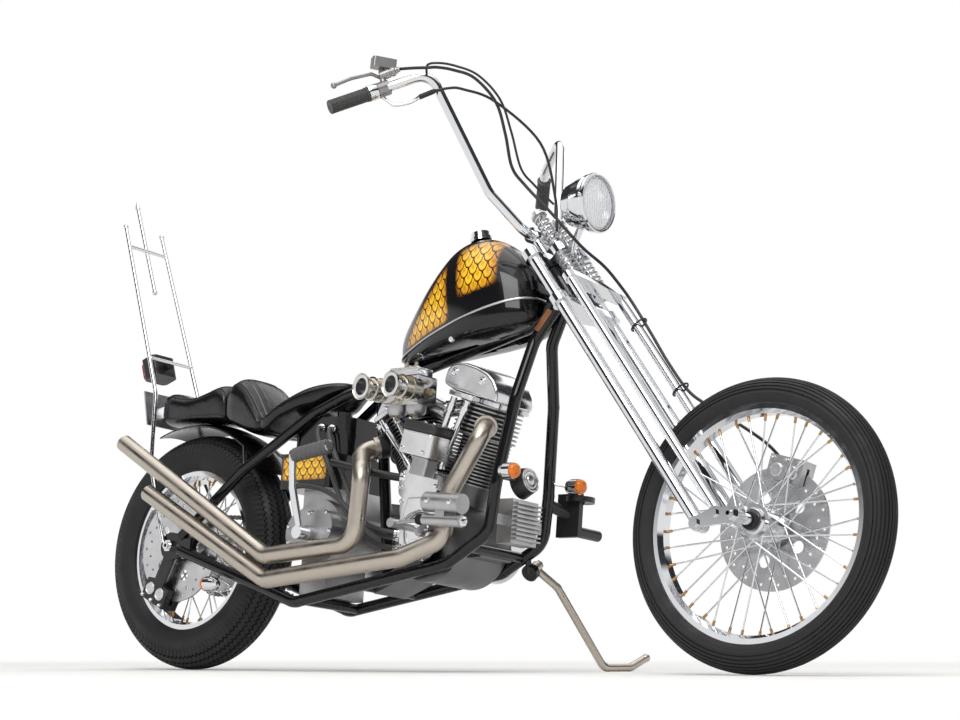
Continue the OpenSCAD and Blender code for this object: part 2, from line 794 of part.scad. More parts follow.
module coil(height, d, wire_d, turns) {
    steps = turns * coil_steps;
    loft([for (i = [0:steps]) coil_ring(i * 360 / coil_steps, (d - wire_d) / 2, wire_d,
        wire_d / 2 + (height - wire_d) * i / steps)]);
}

module fork_springs() {
    low = front_bridge + 8 + gap;
    high = top_bridge + bridge_t + gap;
    color("silver") fork_frame() for (s = [-1, 1]) translate([spring_x, s * spring_y, 0]) {
        translate([0, 0, low]) coil(top_bridge - low - gap, spring_d, spring_wire_d, 6);
        translate([0, 0, high]) coil(spring_top - high - gap, spring_d - 6, spring_wire_d - 1, 6);
        translate([0, 0, spring_top]) spring_cap();
    }
}

module spring_cap() {
    difference() {
        union() {
            cylinder(h = 6, d = spring_d - 4);
            cylinder(h = 18, d = spring_rod_d + 12);
        }
        translate([0, 0, -1]) cylinder(h = 20, d = spring_rod_d + 2 * gap);
    }
}

// Rocker: bell crank from the rigid leg by the front leg to the axle
module rocker() {
    rotate([90, 0, 0]) difference() {
        linear_extrude(rocker_t) {
            translate(rocker_rear) circle(d = rocker_boss_d);
            translate(rocker_front) circle(d = rocker_boss_d);
            translate([fork_offset, 0]) circle(d = front_axle_d + 22);
            polygon([rocker_rear + [-2, 13], rocker_front + [4, 14], [fork_offset + 14, 10],
                     [fork_offset - 6, -19], rocker_rear + [2, -14]]);
        }
        translate([fork_offset, 0, -1]) cylinder(h = rocker_t + 2, d = front_axle_d + 2 * gap);
    }
}

// Rockers with the pins that carry them in the legs
module fork_rockers() {
    color("silver") fork_frame() both_sides() translate([0, -rocker_y, 0]) {
        rocker();
        for (p = [rocker_rear, rocker_front]) translate([p.x, 0, p.y]) rotate([90, 0, 0]) {
            translate([0, 0, -rigid_leg_d / 2]) cylinder(h = rigid_leg_d / 2 + rocker_t, d = rocker_pin_d);
            translate([0, 0, rocker_t - 1]) cylinder(h = 8, d = rocker_pin_d + 8, $fn = 6);
        }
    }
}

module front_axle() {
    end = rocker_y + rocker_t + gap;
    color("silver") front_axle_frame() difference() {
        union() {
            translate([0, 0, -end - 14]) cylinder(h = 2 * end + 28, d = front_axle_d);
            for (s = [-1, 1]) translate([0, 0, s * (end + 6)]) cylinder(h = 12, d = front_axle_d + 12, center = true, $fn = 6);
            translate([0, 0, front_disc_y + disc_t / 2 + 4 * gap])
                cylinder(h = rocker_y - front_disc_y - disc_t / 2 - 5 * gap, d = front_axle_d + 10);
            translate([0, 0, -rocker_y + gap]) cylinder(h = rocker_y - front_hub_y - 5 * gap, d = front_axle_d + 10);
        }
        translate([0, 0, -end - 15]) cylinder(h = 2 * end + 30, d = axle_bore_d);
    }
}

module handlebar() {
    color("silver") fork_frame() bent_tube(bar_whole, bar_d, bar_bend);
}

module hand_grips() {
    color("black") fork_frame() both_sides() difference() {
        rod(grip_point(grip_start), grip_point(grip_end), grip_d);
        rod(grip_point(0), grip_point(grip_end + 20), bar_d + 2 * gap);
    }
}

// Throttle drum, lever pivot and brake reservoir on the right grip
module hand_controls() {
    drum_low = grip_start - 24;
    color("silver") fork_frame() difference() {
        union() {
            rod(grip_point(drum_low), grip_point(grip_start - 1), grip_d + 4);
            rod(grip_point(drum_low - 34), grip_point(drum_low - 2), bar_d + 14);
            rod(grip_point(drum_low - 18) + [10, 0, 14], grip_point(drum_low - 18) + [27, 0, 56], 16);
            translate(grip_point(drum_low - 18) + [24, 0, 40]) rotate([0, rake, 0]) rotate([0, 0, -35])
                translate([0, 0, 8]) rounded_box(34, 62, 26, 6);
            bent_tube([grip_point(drum_low - 14) + [14, 0, 30], grip_point(drum_low + 20) + [34, -4, 38],
                       grip_point(grip_start + 60) + [46, -10, 34], grip_point(grip_end - 4) + [42, -14, 30]], 9, 12);
        }
        bent_tube(bar_points, bar_d + 4 * gap, bar_bend);
    }
}

// Turned bowl of the headlamp, swollen by an extra thickness
module lamp_form(extra) {
    rotate_extrude() polygon([[0, -headlight_depth - extra], [headlight_d * 0.22 + extra, -headlight_depth + 4 - extra],
        [headlight_d * 0.36 + extra, -headlight_depth + 20 - extra],
        [headlight_d * 0.44 + extra, -headlight_depth * 0.45 - extra], [headlight_d / 2 - 3 + extra, -16 - extra],
        [headlight_d / 2 + extra, -14 - extra], [headlight_d / 2 + extra, extra], [0, extra]]);
}

module headlight_shell() {
    color("silver") fork_frame() translate([headlight_x, 0, headlight_z]) rotate([0, rake, 0]) rotate([0, 90, 0]) {
        difference() {
            lamp_form(0);
            translate([0, 0, -10]) cylinder(h = 12, d = headlight_d - 10);
        }
    }
    color("silver") fork_frame() difference() {
        union() {
            translate([top_bridge_nose + 14, 0, top_bridge + bridge_t / 2]) cube([28, 34, 12], center = true);
            rod([top_bridge_nose + 24, 0, top_bridge + bridge_t / 2], headlight_foot, 18);
        }
        translate([headlight_x, 0, headlight_z]) rotate([0, rake, 0]) rotate([0, 90, 0]) lamp_form(gap);
    }
}

module headlight_lens() {
    color("white") fork_frame() translate([headlight_x, 0, headlight_z]) rotate([0, rake, 0]) rotate([0, 90, 0])
        translate([0, 0, -10 + gap]) rotate_extrude()
            polygon([[0, 0], [headlight_d / 2 - 5 - gap, 0], [headlight_d / 2 - 5 - gap, 8],
                     [headlight_d * 0.4, 14], [headlight_d * 0.2, 19], [0, 21]]);
}

// Caliper halves straddle the disc, joined beyond its rim
module caliper(l, reach, w) {
    difference() {
        translate([reach / 2, 0, 0]) cube([reach, l, w], center = true);
        translate([caliper_cover - reach, 0, 0]) cube([2 * reach, 2 * l, disc_t + 6], center = true);
    }
}

module front_caliper() {
    color("black") front_axle_frame() {
        rotate([0, 0, front_caliper_angle]) translate([disc_d / 2 - 36, 0, front_disc_y]) caliper(92, 58, 56);
    }
    color("silver") front_axle_frame() difference() {
        rotate([0, 0, front_caliper_angle]) translate([0, 0, front_disc_y + 28]) linear_extrude(7) {
            circle(d = front_axle_d + 26);
            translate([disc_d / 4, 0]) square([disc_d / 2, 44], center = true);
        }
        translate([0, 0, front_disc_y]) cylinder(h = 60, d = front_axle_d + 10 + 2 * gap);
    }
}

// Fuel tank: stations along the seam, each a round crown over a boxed skirt.
// Columns: distance along the seam, half width share, crown share, skirt depth
tank_stations = [[-12, 0.12, 0.10, 8], [8, 0.30, 0.28, 18], [54, 0.52, 0.455, 28], [135, 0.78, 0.735, 38],
    [213, 0.94, 0.94, 48], [267, 1, 1, 56], [317, 1, 0.975, 62], [363, 0.95, 0.873, 66],
    [404, 0.84, 0.69, 66], [435, 0.66, 0.50, 60], [450, 0.46, 0.33, 50], [456, 0.22, 0.16, 40]];

function tank_ring(s) =
    let (w = tank_half_w * s[1], crown = tank_crown * s[2], skirt = s[3])
    [for (k = [0:tank_sides - 1])
        let (a = 360 * k / tank_sides, c = cos(a), n = sin(a))
        [s[0], w * sign(c) * pow(abs(c), n < 0 ? 0.45 : 0.9),
         n < 0 ? -skirt * pow(abs(n), 0.5) : crown * pow(n, 0.85)]];

module fuel_tank() {
    color("black") parked() difference() {
        translate(tank_tail) rotate([0, -tank_tilt, 0]) loft([for (s = tank_stations) tank_ring(s)]);
        rotate([90, 0, 0]) linear_extrude(backbone_d + 2 * tunnel_room, center = true) tank_tunnel();
    }
}

// Tunnel over the backbone, in side view
module tank_tunnel() {
    roof = backbone_d / 2 + tunnel_room;
    polygon([[backbone_points[0].x + 60, backbone_points[0].z + roof + 30],
             [backbone_points[1].x, backbone_points[1].z + roof], [backbone_points[2].x, backbone_points[2].z + roof],
             [backbone_points[2].x, backbone_points[2].z - 200], [backbone_points[0].x + 60, backbone_points[0].z - 300]]);
}

module fuel_cap() {
    color("silver") parked() translate(tank_tail) rotate([0, -tank_tilt, 0])
        translate([fuel_cap_along, 0, tank_crown + gap]) {
            cylinder(h = 10, d = 58);
            translate([0, 0, 10]) cylinder(h = 14, d = 50, $fn = 24);
        }
}

// Seat: stations from the tail forwards. Columns: x, bottom z, top z, half width
seat_stations = [[-147.9, 690, 730, 40], [-140, 676, 756, 66], [-90, 674, 764, 76], [-20, 676, 744, 80],
    [40, 672, 748, 82], [105, 662, 776, 88], [172, 650, 782, 96], [240, 632, 766, 104], [300, 630, 720, 112],
    [350, 652, 704, 112], [420, 678, 736, 104], [480, 698, 745, 86], [530, 722, 752, 62], [566, 744, 752, 30]];

function seat_ring(s) =
    let (mid = (s[1] + s[2]) / 2, h = (s[2] - s[1]) / 2, w = s[3] * seat_half_w / 112)
    [for (k = [0:seat_sides - 1])
        let (a = 360 * k / seat_sides, c = cos(a), n = sin(a))
        [s[0], w * sign(c) * pow(abs(c), 0.5), mid + h * sign(n) * pow(abs(n), n < 0 ? 0.35 : 0.7)]];

module seat() {
    color("black") parked() loft([for (s = seat_stations) seat_ring(s)]);
}

// Rear fender: crowned section round the tyre, with a strut to each rear stay
module fender_section() {
    inner = rear_r + fender_gap;
    side = [for (k = [-6:6]) k / 6];
    polygon(concat(
        [for (s = side) [inner - fender_crown * s * s, fender_half_w * s]],
        [for (k = [6:-1:-6]) let (s = k / 6) [inner + fender_t - fender_crown * s * s, fender_half_w * s]]));
}

module rear_fender() {
    color("black") parked() {
        translate([0, 0, rear_r]) rotate([90, 0, 0]) rotate([0, 0, fender_front])
            rotate_extrude(angle = fender_rear - fender_front, $fn = 96) fender_section();
        both_sides() rod(fender_strut_top, fender_strut_foot
            + (stay_d / 2 + 2 * gap) * unit(fender_strut_top - fender_strut_foot), fender_strut_d);
    }
}

// Sissy bar: two posts with a cross bar and a centre spear
module sissy_bar() {
    color("silver") parked() {
        both_sides() {
            bent_tube(sissy_points, sissy_d, 60);
            translate(sissy_points[len(sissy_points) - 1]) sphere(d = sissy_d + 4);
        }
        for (c = [sissy_cross, tail_lamp_cross]) rod(c, mirror_y(c), sissy_d - 2);
        rod(spear_low, spear_high, sissy_d);
        translate(spear_high) rotate([0, -20, 0]) cylinder(h = 26, d1 = sissy_d + 4, d2 = 2);
        translate(spear_low) sphere(d = sissy_d + 4);
    }
}

module tail_lamp() {
    color("red") parked() translate(tail_lamp_at) rotate([0, -tail_lamp_tilt, 0]) {
        rounded_box(tail_lamp_l, 84, tail_lamp_h, 14);
        translate([tail_lamp_l / 2 - 4, 0, tail_lamp_h / 2]) rotate([0, 90, 0]) cylinder(h = tail_lamp_stem + 4, d = 26);
    }
}

module plate_bracket() {
    color("silver") parked() translate(plate_at) rotate([0, -14, 0]) {
        cube([4, 180, 100], center = true);
        translate([18, 0, 0]) cube([32, 40, 30], center = true);
    }
}

// Engine

module at_crank() {
    translate([crank_x, 0, crank_z]) children();
}

module at_cylinder(tilt) {
    at_crank() rotate([0, tilt, 0]) children();
}

// Comb section of a finned barrel; fins stand on a core
function fin_section(low, count, pitch, core_r, fin_r, fin_t) =
    concat([[0, low], [fin_r, low]],
        [for (i = [0:count - 1]) each [[fin_r, low + i * pitch + fin_t], [core_r, low + i * pitch + fin_t],
            [core_r, low + (i + 1) * pitch], [fin_r, low + (i + 1) * pitch]]],
        [[fin_r, low + count * pitch + fin_t], [0, low + count * pitch + fin_t]]);

module crankcase() {
    color("silver") parked() difference() {
        union() {
            at_crank() rotate([90, 0, 0]) cylinder(h = 2 * case_y, r = case_r, center = true);
            at_cylinder(front_cylinder_lean) cylinder(h = barrel_low - gap, d = front_deck_d);
            at_cylinder(rear_cylinder_lean) cylinder(h = barrel_low - gap, d = rear_deck_d);
            for (c = [crossmembers[0], crossmembers[1]])
                rod_block([crank_x, 0, crank_z - 40], [c[0], 0, c[1]], 120, 34);
        }
        for (c = crossmembers) rod([c[0], -rail_y, c[1]], [c[0], rail_y, c[1]], cross_tube_d + 2 * gap);
        seat_post_solid(4 * gap);
    }
}

// Square lug between two points of the same side view
module rod_block(a, b, w, h) {
    v = b - a;
    translate(a) rotate([0, atan2(-v.z, v.x), 0]) translate([0, -w / 2, -h / 2]) cube([norm(v), w, h]);
}

module cam_cover() {
    color("silver") parked() at_crank() translate([0, -case_y - gap, 0]) rotate([90, 0, 0]) {
        linear_extrude(cam_cover_t) {
            circle(r = 70);
            translate([-12, 70]) circle(r = 62);
            translate([-18, 128]) rounded_rect(128, 70, 20);
            translate([-6, 55]) square([128, 90], center = true);
        }
        translate([0, 0, cam_cover_t]) cylinder(h = cam_dome_t, d1 = 110, d2 = 84);
    }
}

// Slot between the two cylinders, where their fins are cut back
module vee_gap() {
    at_cylinder((front_cylinder_lean + rear_cylinder_lean) / 2) cube([vee_slot, 2 * fin_d, 4 * head_start], center = true);
}

module cylinders() {
    color("dimgray") parked() difference() {
        for (tilt = cylinder_leans) at_cylinder(tilt) rotate_extrude()
            polygon(fin_section(barrel_low, barrel_fins, barrel_pitch, fin_d / 2 - 22, fin_d / 2, fin_t));
        vee_gap();
    }
}

module cylinder_heads() {
    color("gray") parked() difference() {
        for (side = [[front_cylinder_lean, 1], [rear_cylinder_lean, -1]]) at_cylinder(side[0]) {
            rotate_extrude()
                polygon(fin_section(head_start, head_fins, head_pitch, fin_d / 2 - 10, fin_d / 2 + 8, fin_t));
            translate([0, 0, head_start + port_up]) rotate([0, 0, side[1] * (90 - port_turn) - 90]) rotate([0, 90, 0])
                cylinder(h = port_reach, d = pipe_d + 14);
        }
        vee_gap();
    }
}

module rocker_boxes() {
    color("silver") parked() for (tilt = cylinder_leans) at_cylinder(tilt)
        translate([0, 0, rocker_box_low]) {
            rounded_box(2 * rocker_box_x, 136, 14, 20);
            translate([tilt == front_cylinder_lean ? -24 : 1, -pushrod_y + 8, 0]) rounded_box(84, 40, 14, 12);
            translate([0, 0, 14]) rotate([90, 0, 0]) linear_extrude(120, center = true) {
                translate([0, (rocker_box_h - 14) / 2]) square([2 * rocker_box_x - 44, rocker_box_h - 14], center = true);
                for (s = [-1, 1]) translate([s * (rocker_box_x - 22), 0]) intersection() {
                    circle(r = 20);
                    translate([0, 20]) square([40, 40], center = true);
                }
            }
        }
}

// Push rod tubes on the right; columns: cylinder lean, top offset, foot x from the crank
module pushrod_tubes() {
    color("silver") parked() for (p = pushrods) {
        top = [crank_x, 0, crank_z] + rocker_box_low * [sin(p[0]), 0, cos(p[0])] + p[1] * [cos(p[0]), 0, -sin(p[0])]
            + [0, -pushrod_y, 0];
        foot = [crank_x + p[2], -pushrod_y - 6, crank_z + cam_cover_top + 8];
        v = unit(top - foot);
        translate(foot - [0, 0, 8 - gap]) cylinder(h = 14, d = 26);
        rod(foot, top - v * 3, 17);
        rod(foot + v * 4, foot + v * 26, 24);
        rod(top - v * 40, top - v * 20, 23);
    }
}

// Twin carburettor with two open bell mouths on the right, on a branched manifold
module carburettor() {
    color("silver") parked() difference() {
        union() {
            translate(carb_at) carb_body();
            rod(carb_at, [carb_at.x, 0, carb_at.z - 20], 50);
            rod([carb_at.x - 80, 0, carb_at.z - 20], [carb_at.x + 80, 0, carb_at.z - 20], 44);
        }
        cylinder_head_envelopes();
    }
}

module carb_body() {
    cube([118, 70, 74], center = true);
    translate([0, 0, 46]) cube([96, 56, 20], center = true);
    for (x = [-carb_pitch / 2, carb_pitch / 2]) translate([x, -30, 0]) rotate([90, 0, -10]) difference() {
        union() {
            cylinder(h = 80, d1 = 58, d2 = 52);
            translate([0, 0, 66]) cylinder(h = 18, d1 = 52, d2 = 66);
        }
        translate([0, 0, 12]) cylinder(h = 90, d = 44);
    }
}

module cylinder_head_envelopes() {
    for (tilt = cylinder_leans) at_cylinder(tilt) {
        translate([0, 0, barrel_low]) cylinder(h = rocker_box_low - barrel_low, d = fin_d + 16 + 2 * gap);
        translate([0, 0, rocker_box_low - 4]) cube([2 * rocker_box_x + 2 * gap, 137, 160], center = true);
    }
}

// Magneto on a foot against the cam cover
module magneto() {
    foot_y = case_y + cam_cover_t + 2 * gap;
    color("silver") parked() {
        translate(magneto_at) rotate([0, 13, 0]) {
            rounded_box(104, 78, 60, 12);
            translate([0, 0, 60]) rounded_box(110, 84, 26, 16);
        }
        translate([magneto_at.x - 26, -foot_y - 44, magneto_at.z - 46]) cube([52, 44, 60]);
    }
}

// Exhausts on the right
module exhaust(points, bend) {
    difference() {
        union() {
            bent_tube(points, pipe_d, bend);
            rod(points[0], points[0] + 12 * unit(points[1] - points[0]), pipe_d + 12);
        }
        rod(points[len(points) - 1] - 80 * unit(points[len(points) - 1] - points[len(points) - 2]),
            points[len(points) - 1] + 2 * unit(points[len(points) - 1] - points[len(points) - 2]), pipe_d - 4);
    }
}

module exhaust_front() { color("tan") parked() exhaust(front_pipe_points, front_pipe_bend); }
module exhaust_rear() { color("tan") parked() exhaust(rear_pipe_points, rear_pipe_bend); }

// Gearbox with its kick cover on the right and its drive sprocket on the left
module gearbox() {
    color("silver") parked() translate([gearbox_x, 0, gearbox_z]) {
        difference() {
            union() {
                rotate([90, 0, 0]) cylinder(h = 2 * gearbox_half_w, r = 86, center = true);
                translate([0, 0, (electrics_low - gap - gearbox_z) / 2]) cube([150, 150, electrics_low - gap - gearbox_z], center = true);
                translate([-20, 0, -mount_drop / 2]) cube([90, 150, mount_drop], center = true);
            }
            translate([0, chain_y + 30, 0]) rotate([90, 0, 0]) cylinder(h = 60, r = gearbox_sprocket_r + chain_h + 14);
            rotate([-90, 0, 0]) mirror([0, 1, 0]) translate([-gearbox_x, rear_r - gearbox_z, chain_y - chain_w]) linear_extrude(4 * chain_w)
                chain_outline(chain_h + 8);
        }
        rotate([-90, 0, 0]) cylinder(h = chain_y, r = 22);
        translate([0, chain_y, 0]) rotate([90, 0, 0]) sprocket(gearbox_sprocket_r, 22, sprocket_t, 12);
        translate([-10, -gearbox_half_w, -8]) rotate([90, 0, 0]) kick_cover();
    }
}

module kick_cover() {
    linear_extrude(kick_cover_t) {
        circle(r = 62);
        translate([56, 16]) circle(r = 44);
        translate([30, 10]) square([60, 80], center = true);
    }
    translate([20, -4, kick_cover_t]) cylinder(h = kick_boss_h, d = 44);
}

// Kick lever: splined boss, curved arm and folded rubber pedal
module kick_lever() {
    color("silver") parked() {
        translate(kick_points[0]) rotate([90, 0, 0]) cylinder(h = kick_hub_l, d = 34, center = true);
        bent_tube(kick_points, 20, 40);
    }
    color("black") parked() rod(kick_points[len(kick_points) - 1] + [2, 0, 2],
        kick_points[len(kick_points) - 1] + [128, 0, 22], 32);
}

// Primary chain case on the left, between crankshaft and clutch
module primary_cover() {
    color("silver") parked() translate([0, primary_y + primary_w, 0]) rotate([90, 0, 0]) {
        linear_extrude(primary_w) {
            translate([crank_x, crank_z]) circle(r = primary_front_r);
            translate([gearbox_x, gearbox_z]) circle(r = primary_rear_r);
            polygon([[crank_x, crank_z - primary_front_r + 2], [crank_x, crank_z + primary_front_r - 2],
                     [gearbox_x, gearbox_z + primary_rear_r - 2], [gearbox_x, gearbox_z - primary_rear_r + 2]]);
        }
    }
    color("silver") parked() at_crank() translate([0, primary_y, 0]) rotate([90, 0, 0])
        cylinder(h = primary_y - case_y - gap, r = 55);
}

module oil_tank() {
    color("black") parked() difference() {
        translate([oil_tank_x, 0, oil_tank_low]) rounded_box(oil_tank_l, 2 * oil_tank_y, oil_tank_h, 40);
        both_sides() bent_tube(stay_points, stay_d + 8, stay_bend);
    }
    color("silver") parked() translate([oil_tank_x + 60, -oil_tank_y + 34, oil_tank_low + oil_tank_h])
        cylinder(h = 14, d = 40);
}

module electrics_box() {
    color("black") parked() translate([oil_tank_x, 0, electrics_low])
        rounded_box(oil_tank_l - 10, 2 * electrics_y, oil_tank_low - electrics_low - gap, 16);
}

// Rear brake master cylinder and its reservoir, ahead of the cam cover

module brake_master() {
    start = [crank_x - 28, -master_y, crank_z + 18];
    dome_y = case_y + cam_cover_t + cam_dome_t + 2 * gap;
    color("silver") parked() {
        rod([crank_x + 72, -master_y, crank_z + 24], [crank_x + 192, -master_y, crank_z + 16], 30);
        rod([crank_x + 76, -master_y, crank_z + 68], [crank_x + 192, -master_y, crank_z + 58], 50);
        translate([crank_x + 130, -master_y, crank_z + 42]) cube([30, 26, 34], center = true);
        rod(start, [crank_x + 74, -master_y, crank_z + 24], 9);
        rod(start + [0, -14, 0], [start.x, -dome_y, start.z], 24);
        rod([crank_x + 74, -master_y, crank_z + 24], [crank_x + 24, -dome_y - 12, crank_z], 14);
        rod([crank_x + 24, -dome_y - 20, crank_z], [crank_x + 24, -dome_y, crank_z], 22);
    }
}

// Left forward foot control: bracket, peg and pedal pad
module foot_control() {
    color("black") parked() difference() {
        union() {
            rod(control_mount, control_mount + [20, 70, -20], 30);
            translate(control_mount + [20, 66, -20]) cube([70, 16, 110], center = true);
            rod(control_mount + [40, 62, -60], control_mount + [40, 160, -60], 28);
            rod(control_mount + [40, 66, 20], control_mount + [52, 78, 8], 14);
            translate(control_mount + [40, 80, 14]) cylinder(h = 14, d = 74);
        }
        mirror([0, 1, 0]) rail_solid(2 * gap);
    }
}

module horn() {
    color("black") parked() {
        translate(horn_at) rotate([0, 75, 0]) cylinder(h = 34, d1 = 80, d2 = 64, center = true);
        difference() {
            rod(horn_at + [0, -30, 0], horn_at + [0, -horn_arm, 0], 12);
            rail_solid(2 * gap);
        }
    }
}

module regulator() {
    color("silver") parked() difference() {
        translate(regulator_at) {
            cube([46, 100, 110], center = true);
            translate([3, 0, 0]) cube([6, 2 * rail_y, 26], center = true);
            for (i = [-4:4]) translate([30, 0, i * 11]) cube([16, 96, 4], center = true);
        }
        both_sides() rail_solid(2 * gap);
    }
}

// Round indicator lamps on short stalks; columns: point on the frame, direction of the stalk
module bullet_lamp(from, to) {
    rod(from, to, 9);
    translate(to) rotate([0, 90, 0]) rotate_extrude()
        polygon([[0, -26], [8, -24], [16, -16], [20, -4], [20, 18], [0, 18]]);
}

module indicators() {
    color("orange") parked() both_sides() difference() {
        union() {
            bullet_lamp(front_lamp_from, front_lamp_to);
            mirror([1, 0, 0]) bullet_lamp([-rear_lamp_from.x, rear_lamp_from.y, rear_lamp_from.z],
                [-rear_lamp_to.x, rear_lamp_to.y, rear_lamp_to.z]);
        }
        rail_solid(2 * gap);
    }
}

module rear_caliper() {
    color("black") rear_axle_frame() rotate([0, 0, rear_caliper_angle])
        translate([disc_d / 2 - 36, 0, -rear_disc_y]) caliper(92, 56, 54);
    color("black") rear_axle_frame() difference() {
        rotate([0, 0, rear_caliper_angle]) translate([0, 0, -axle_plate_y + axle_plate_t / 2 + gap]) linear_extrude(6) {
            circle(d = rear_axle_d + 40);
            translate([disc_d / 4 + 10, 0]) square([disc_d / 2 + 20, 40], center = true);
        }
        translate([0, 0, -2 * axle_plate_y]) cylinder(h = 2 * axle_plate_y, d = rear_axle_d + 10 + 2 * gap);
    }
}

// Side stand, on the pivot under the left rail

module side_stand() {
    color("black") parked() difference() {
        union() {
            translate(stand_pivot) rotate(stand_turn) cylinder(h = 2 * stand_pin_l - 2, d = stand_boss_d, center = true);
            bent_tube(stand_points, stand_d, 24);
            translate(stand_points[len(stand_points) - 1]) sphere(d = stand_d + 2);
        }
        translate(stand_pivot) rotate(stand_turn) cylinder(h = 4 * stand_pin_l, d = stand_pin_d + 2 * gap, center = true);
    }
}

// Cables: plain tubes swept along their routes

function sweep_ring(route, i, d) =
    let (before = route[max(i - 1, 0)], after = route[min(i + 1, len(route) - 1)], t = unit(after - before),
         side = abs(t.y) > 0.9 ? unit(cross(t, [0, 0, 1])) : unit(cross(t, [0, 1, 0])), up = cross(side, t))
    [for (k = [0:cable_sides - 1]) route[i] + d / 2 * (cos(360 * k / cable_sides) * side + sin(360 * k / cable_sides) * up)];

// Smooth curve through points, with even steps between each pair
function smooth(points, steps) =
    let (last = len(points) - 1)
    concat([for (i = [0:last - 1]) for (k = [0:steps - 1])
        let (u = k / steps, a = points[max(i - 1, 0)], b = points[i], c = points[i + 1], d = points[min(i + 2, last)])
        0.5 * (2 * b + (c - a) * u + (2 * a - 5 * b + 4 * c - d) * u * u + (3 * b - a - 3 * c + d) * u * u * u)],
        [points[last]]);

module cable(points, d) {
    route = smooth(points, 3);
    loft([for (i = [0:len(route) - 1]) sweep_ring(route, i, d)]);
}

module throttle_cable() { color("black") fork_frame() cable(throttle_route, 7); }
module brake_hose() { color("black") fork_frame() cable(brake_route, 8); }
module switch_wire() { color("black") fork_frame() cable(switch_route, 6); }

frame_head();
frame_rails();
frame_stays();
frame_crossmembers();
front_tyre();
front_wheel();
front_disc();
rear_tyre();
rear_wheel();
rear_disc();
rear_sprocket();
rear_axle();
drive_chain();
fork_rigid_legs();
fork_bridges();
fork_front_legs();
fork_springs();
fork_rockers();
front_axle();
handlebar();
hand_grips();
hand_controls();
headlight_shell();
headlight_lens();
front_caliper();
fuel_tank();
fuel_cap();
seat();
rear_fender();
sissy_bar();
tail_lamp();
plate_bracket();
crankcase();
cam_cover();
cylinders();
cylinder_heads();
rocker_boxes();
pushrod_tubes();
carburettor();
magneto();
exhaust_front();
exhaust_rear();
gearbox();
kick_lever();
primary_cover();
oil_tank();
electrics_box();
brake_master();
foot_control();
horn();
regulator();
indicators();
rear_caliper();
side_stand();
throttle_cable();
brake_hose();
switch_wire();
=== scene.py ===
# %% [markdown]
# # A rigid-frame chopper
# The frame, engine, wheels and controls come in as solid parts that already have their real size and
# place, in metres. This lesson gives each of them its finish and adds what only shows close up: tyre
# tread, leather, chain links, cables and bolts. Tables of sizes are in millimetres, as on a drawing,
# and the first helper turns them into metres.

# %% Load the parts
import math

import bpy
from mathutils import Matrix, Vector


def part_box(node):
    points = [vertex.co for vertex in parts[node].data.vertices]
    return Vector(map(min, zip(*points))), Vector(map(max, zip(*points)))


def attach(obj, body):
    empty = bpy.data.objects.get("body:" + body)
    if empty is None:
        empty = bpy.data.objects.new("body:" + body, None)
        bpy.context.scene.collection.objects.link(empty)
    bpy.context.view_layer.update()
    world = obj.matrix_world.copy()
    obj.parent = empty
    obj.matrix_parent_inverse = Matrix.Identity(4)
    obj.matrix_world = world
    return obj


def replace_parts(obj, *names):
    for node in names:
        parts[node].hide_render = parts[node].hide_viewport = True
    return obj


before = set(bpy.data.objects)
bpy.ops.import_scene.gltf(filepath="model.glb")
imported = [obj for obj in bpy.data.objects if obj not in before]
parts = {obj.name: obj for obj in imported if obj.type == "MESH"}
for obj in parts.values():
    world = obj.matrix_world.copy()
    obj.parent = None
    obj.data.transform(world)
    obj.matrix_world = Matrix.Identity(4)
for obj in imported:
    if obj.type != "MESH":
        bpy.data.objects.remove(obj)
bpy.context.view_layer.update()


def mm(*values):
    """A place given in millimetres, as a vector in metres."""
    return Vector(values) / 1000


# %% [markdown]
# The picture was taken from the front right, with the camera almost on the ground and tilted up a
# little. A camera can be turned by three angles, but here its own right, up and back axes are worked
# out from a yaw and a pitch, because those two are easy to check. A long lens keeps the wheels round.

# %% Camera
CAMERA_AT = Vector((4.19573, -4.97698, 0.07547))
CAMERA_YAW = math.radians(39.97)
CAMERA_PITCH = math.radians(-6.33)
CAMERA_LENS = 95.24
SENSOR_WIDTH = 36

camera_back = Vector((
    math.sin(CAMERA_YAW) * math.cos(CAMERA_PITCH),
    -math.cos(CAMERA_YAW) * math.cos(CAMERA_PITCH),
    math.sin(CAMERA_PITCH),
))
camera_right = Vector((math.cos(CAMERA_YAW), math.sin(CAMERA_YAW), 0))
camera_up = camera_back.cross(camera_right)
camera_turn = Matrix((camera_right, camera_up, camera_back)).transposed().to_4x4()
camera = bpy.data.objects.new("camera", bpy.data.cameras.new("camera"))
camera.data.sensor_width = SENSOR_WIDTH
camera.data.lens = CAMERA_LENS
camera.matrix_world = Matrix.Translation(CAMERA_AT) @ camera_turn
bpy.context.collection.objects.link(camera)
bpy.context.scene.camera = camera
bpy.context.scene.view_settings.view_transform = "Standard"
print("camera at", tuple(round(v, 2) for v in CAMERA_AT))

# %% [markdown]
# A finish is a tree of nodes. Wiring one by hand takes a line for each node, setting and link, so a few
# helpers make every node a single line. They set the sockets that get a plain value, and link those
# that get another node's output.


# %% Node helpers
def add_node(tree, kind, inputs=None, **settings):
    """A node of one kind, with its settings made and its inputs set or linked."""
    node = tree.nodes.new(kind)
    for name, value in settings.items():
        setattr(node, name, value)
    for key, value in (inputs or {}).items():
        if isinstance(value, bpy.types.NodeSocket):
            tree.links.new(value, node.inputs[key])
        else:
            node.inputs[key].default_value = value
    return node


def maths(tree, operation, a, b=0.0, c=0.0):
    return add_node(tree, "ShaderNodeMath", {0: a, 1: b, 2: c}, operation=operation).outputs[0]


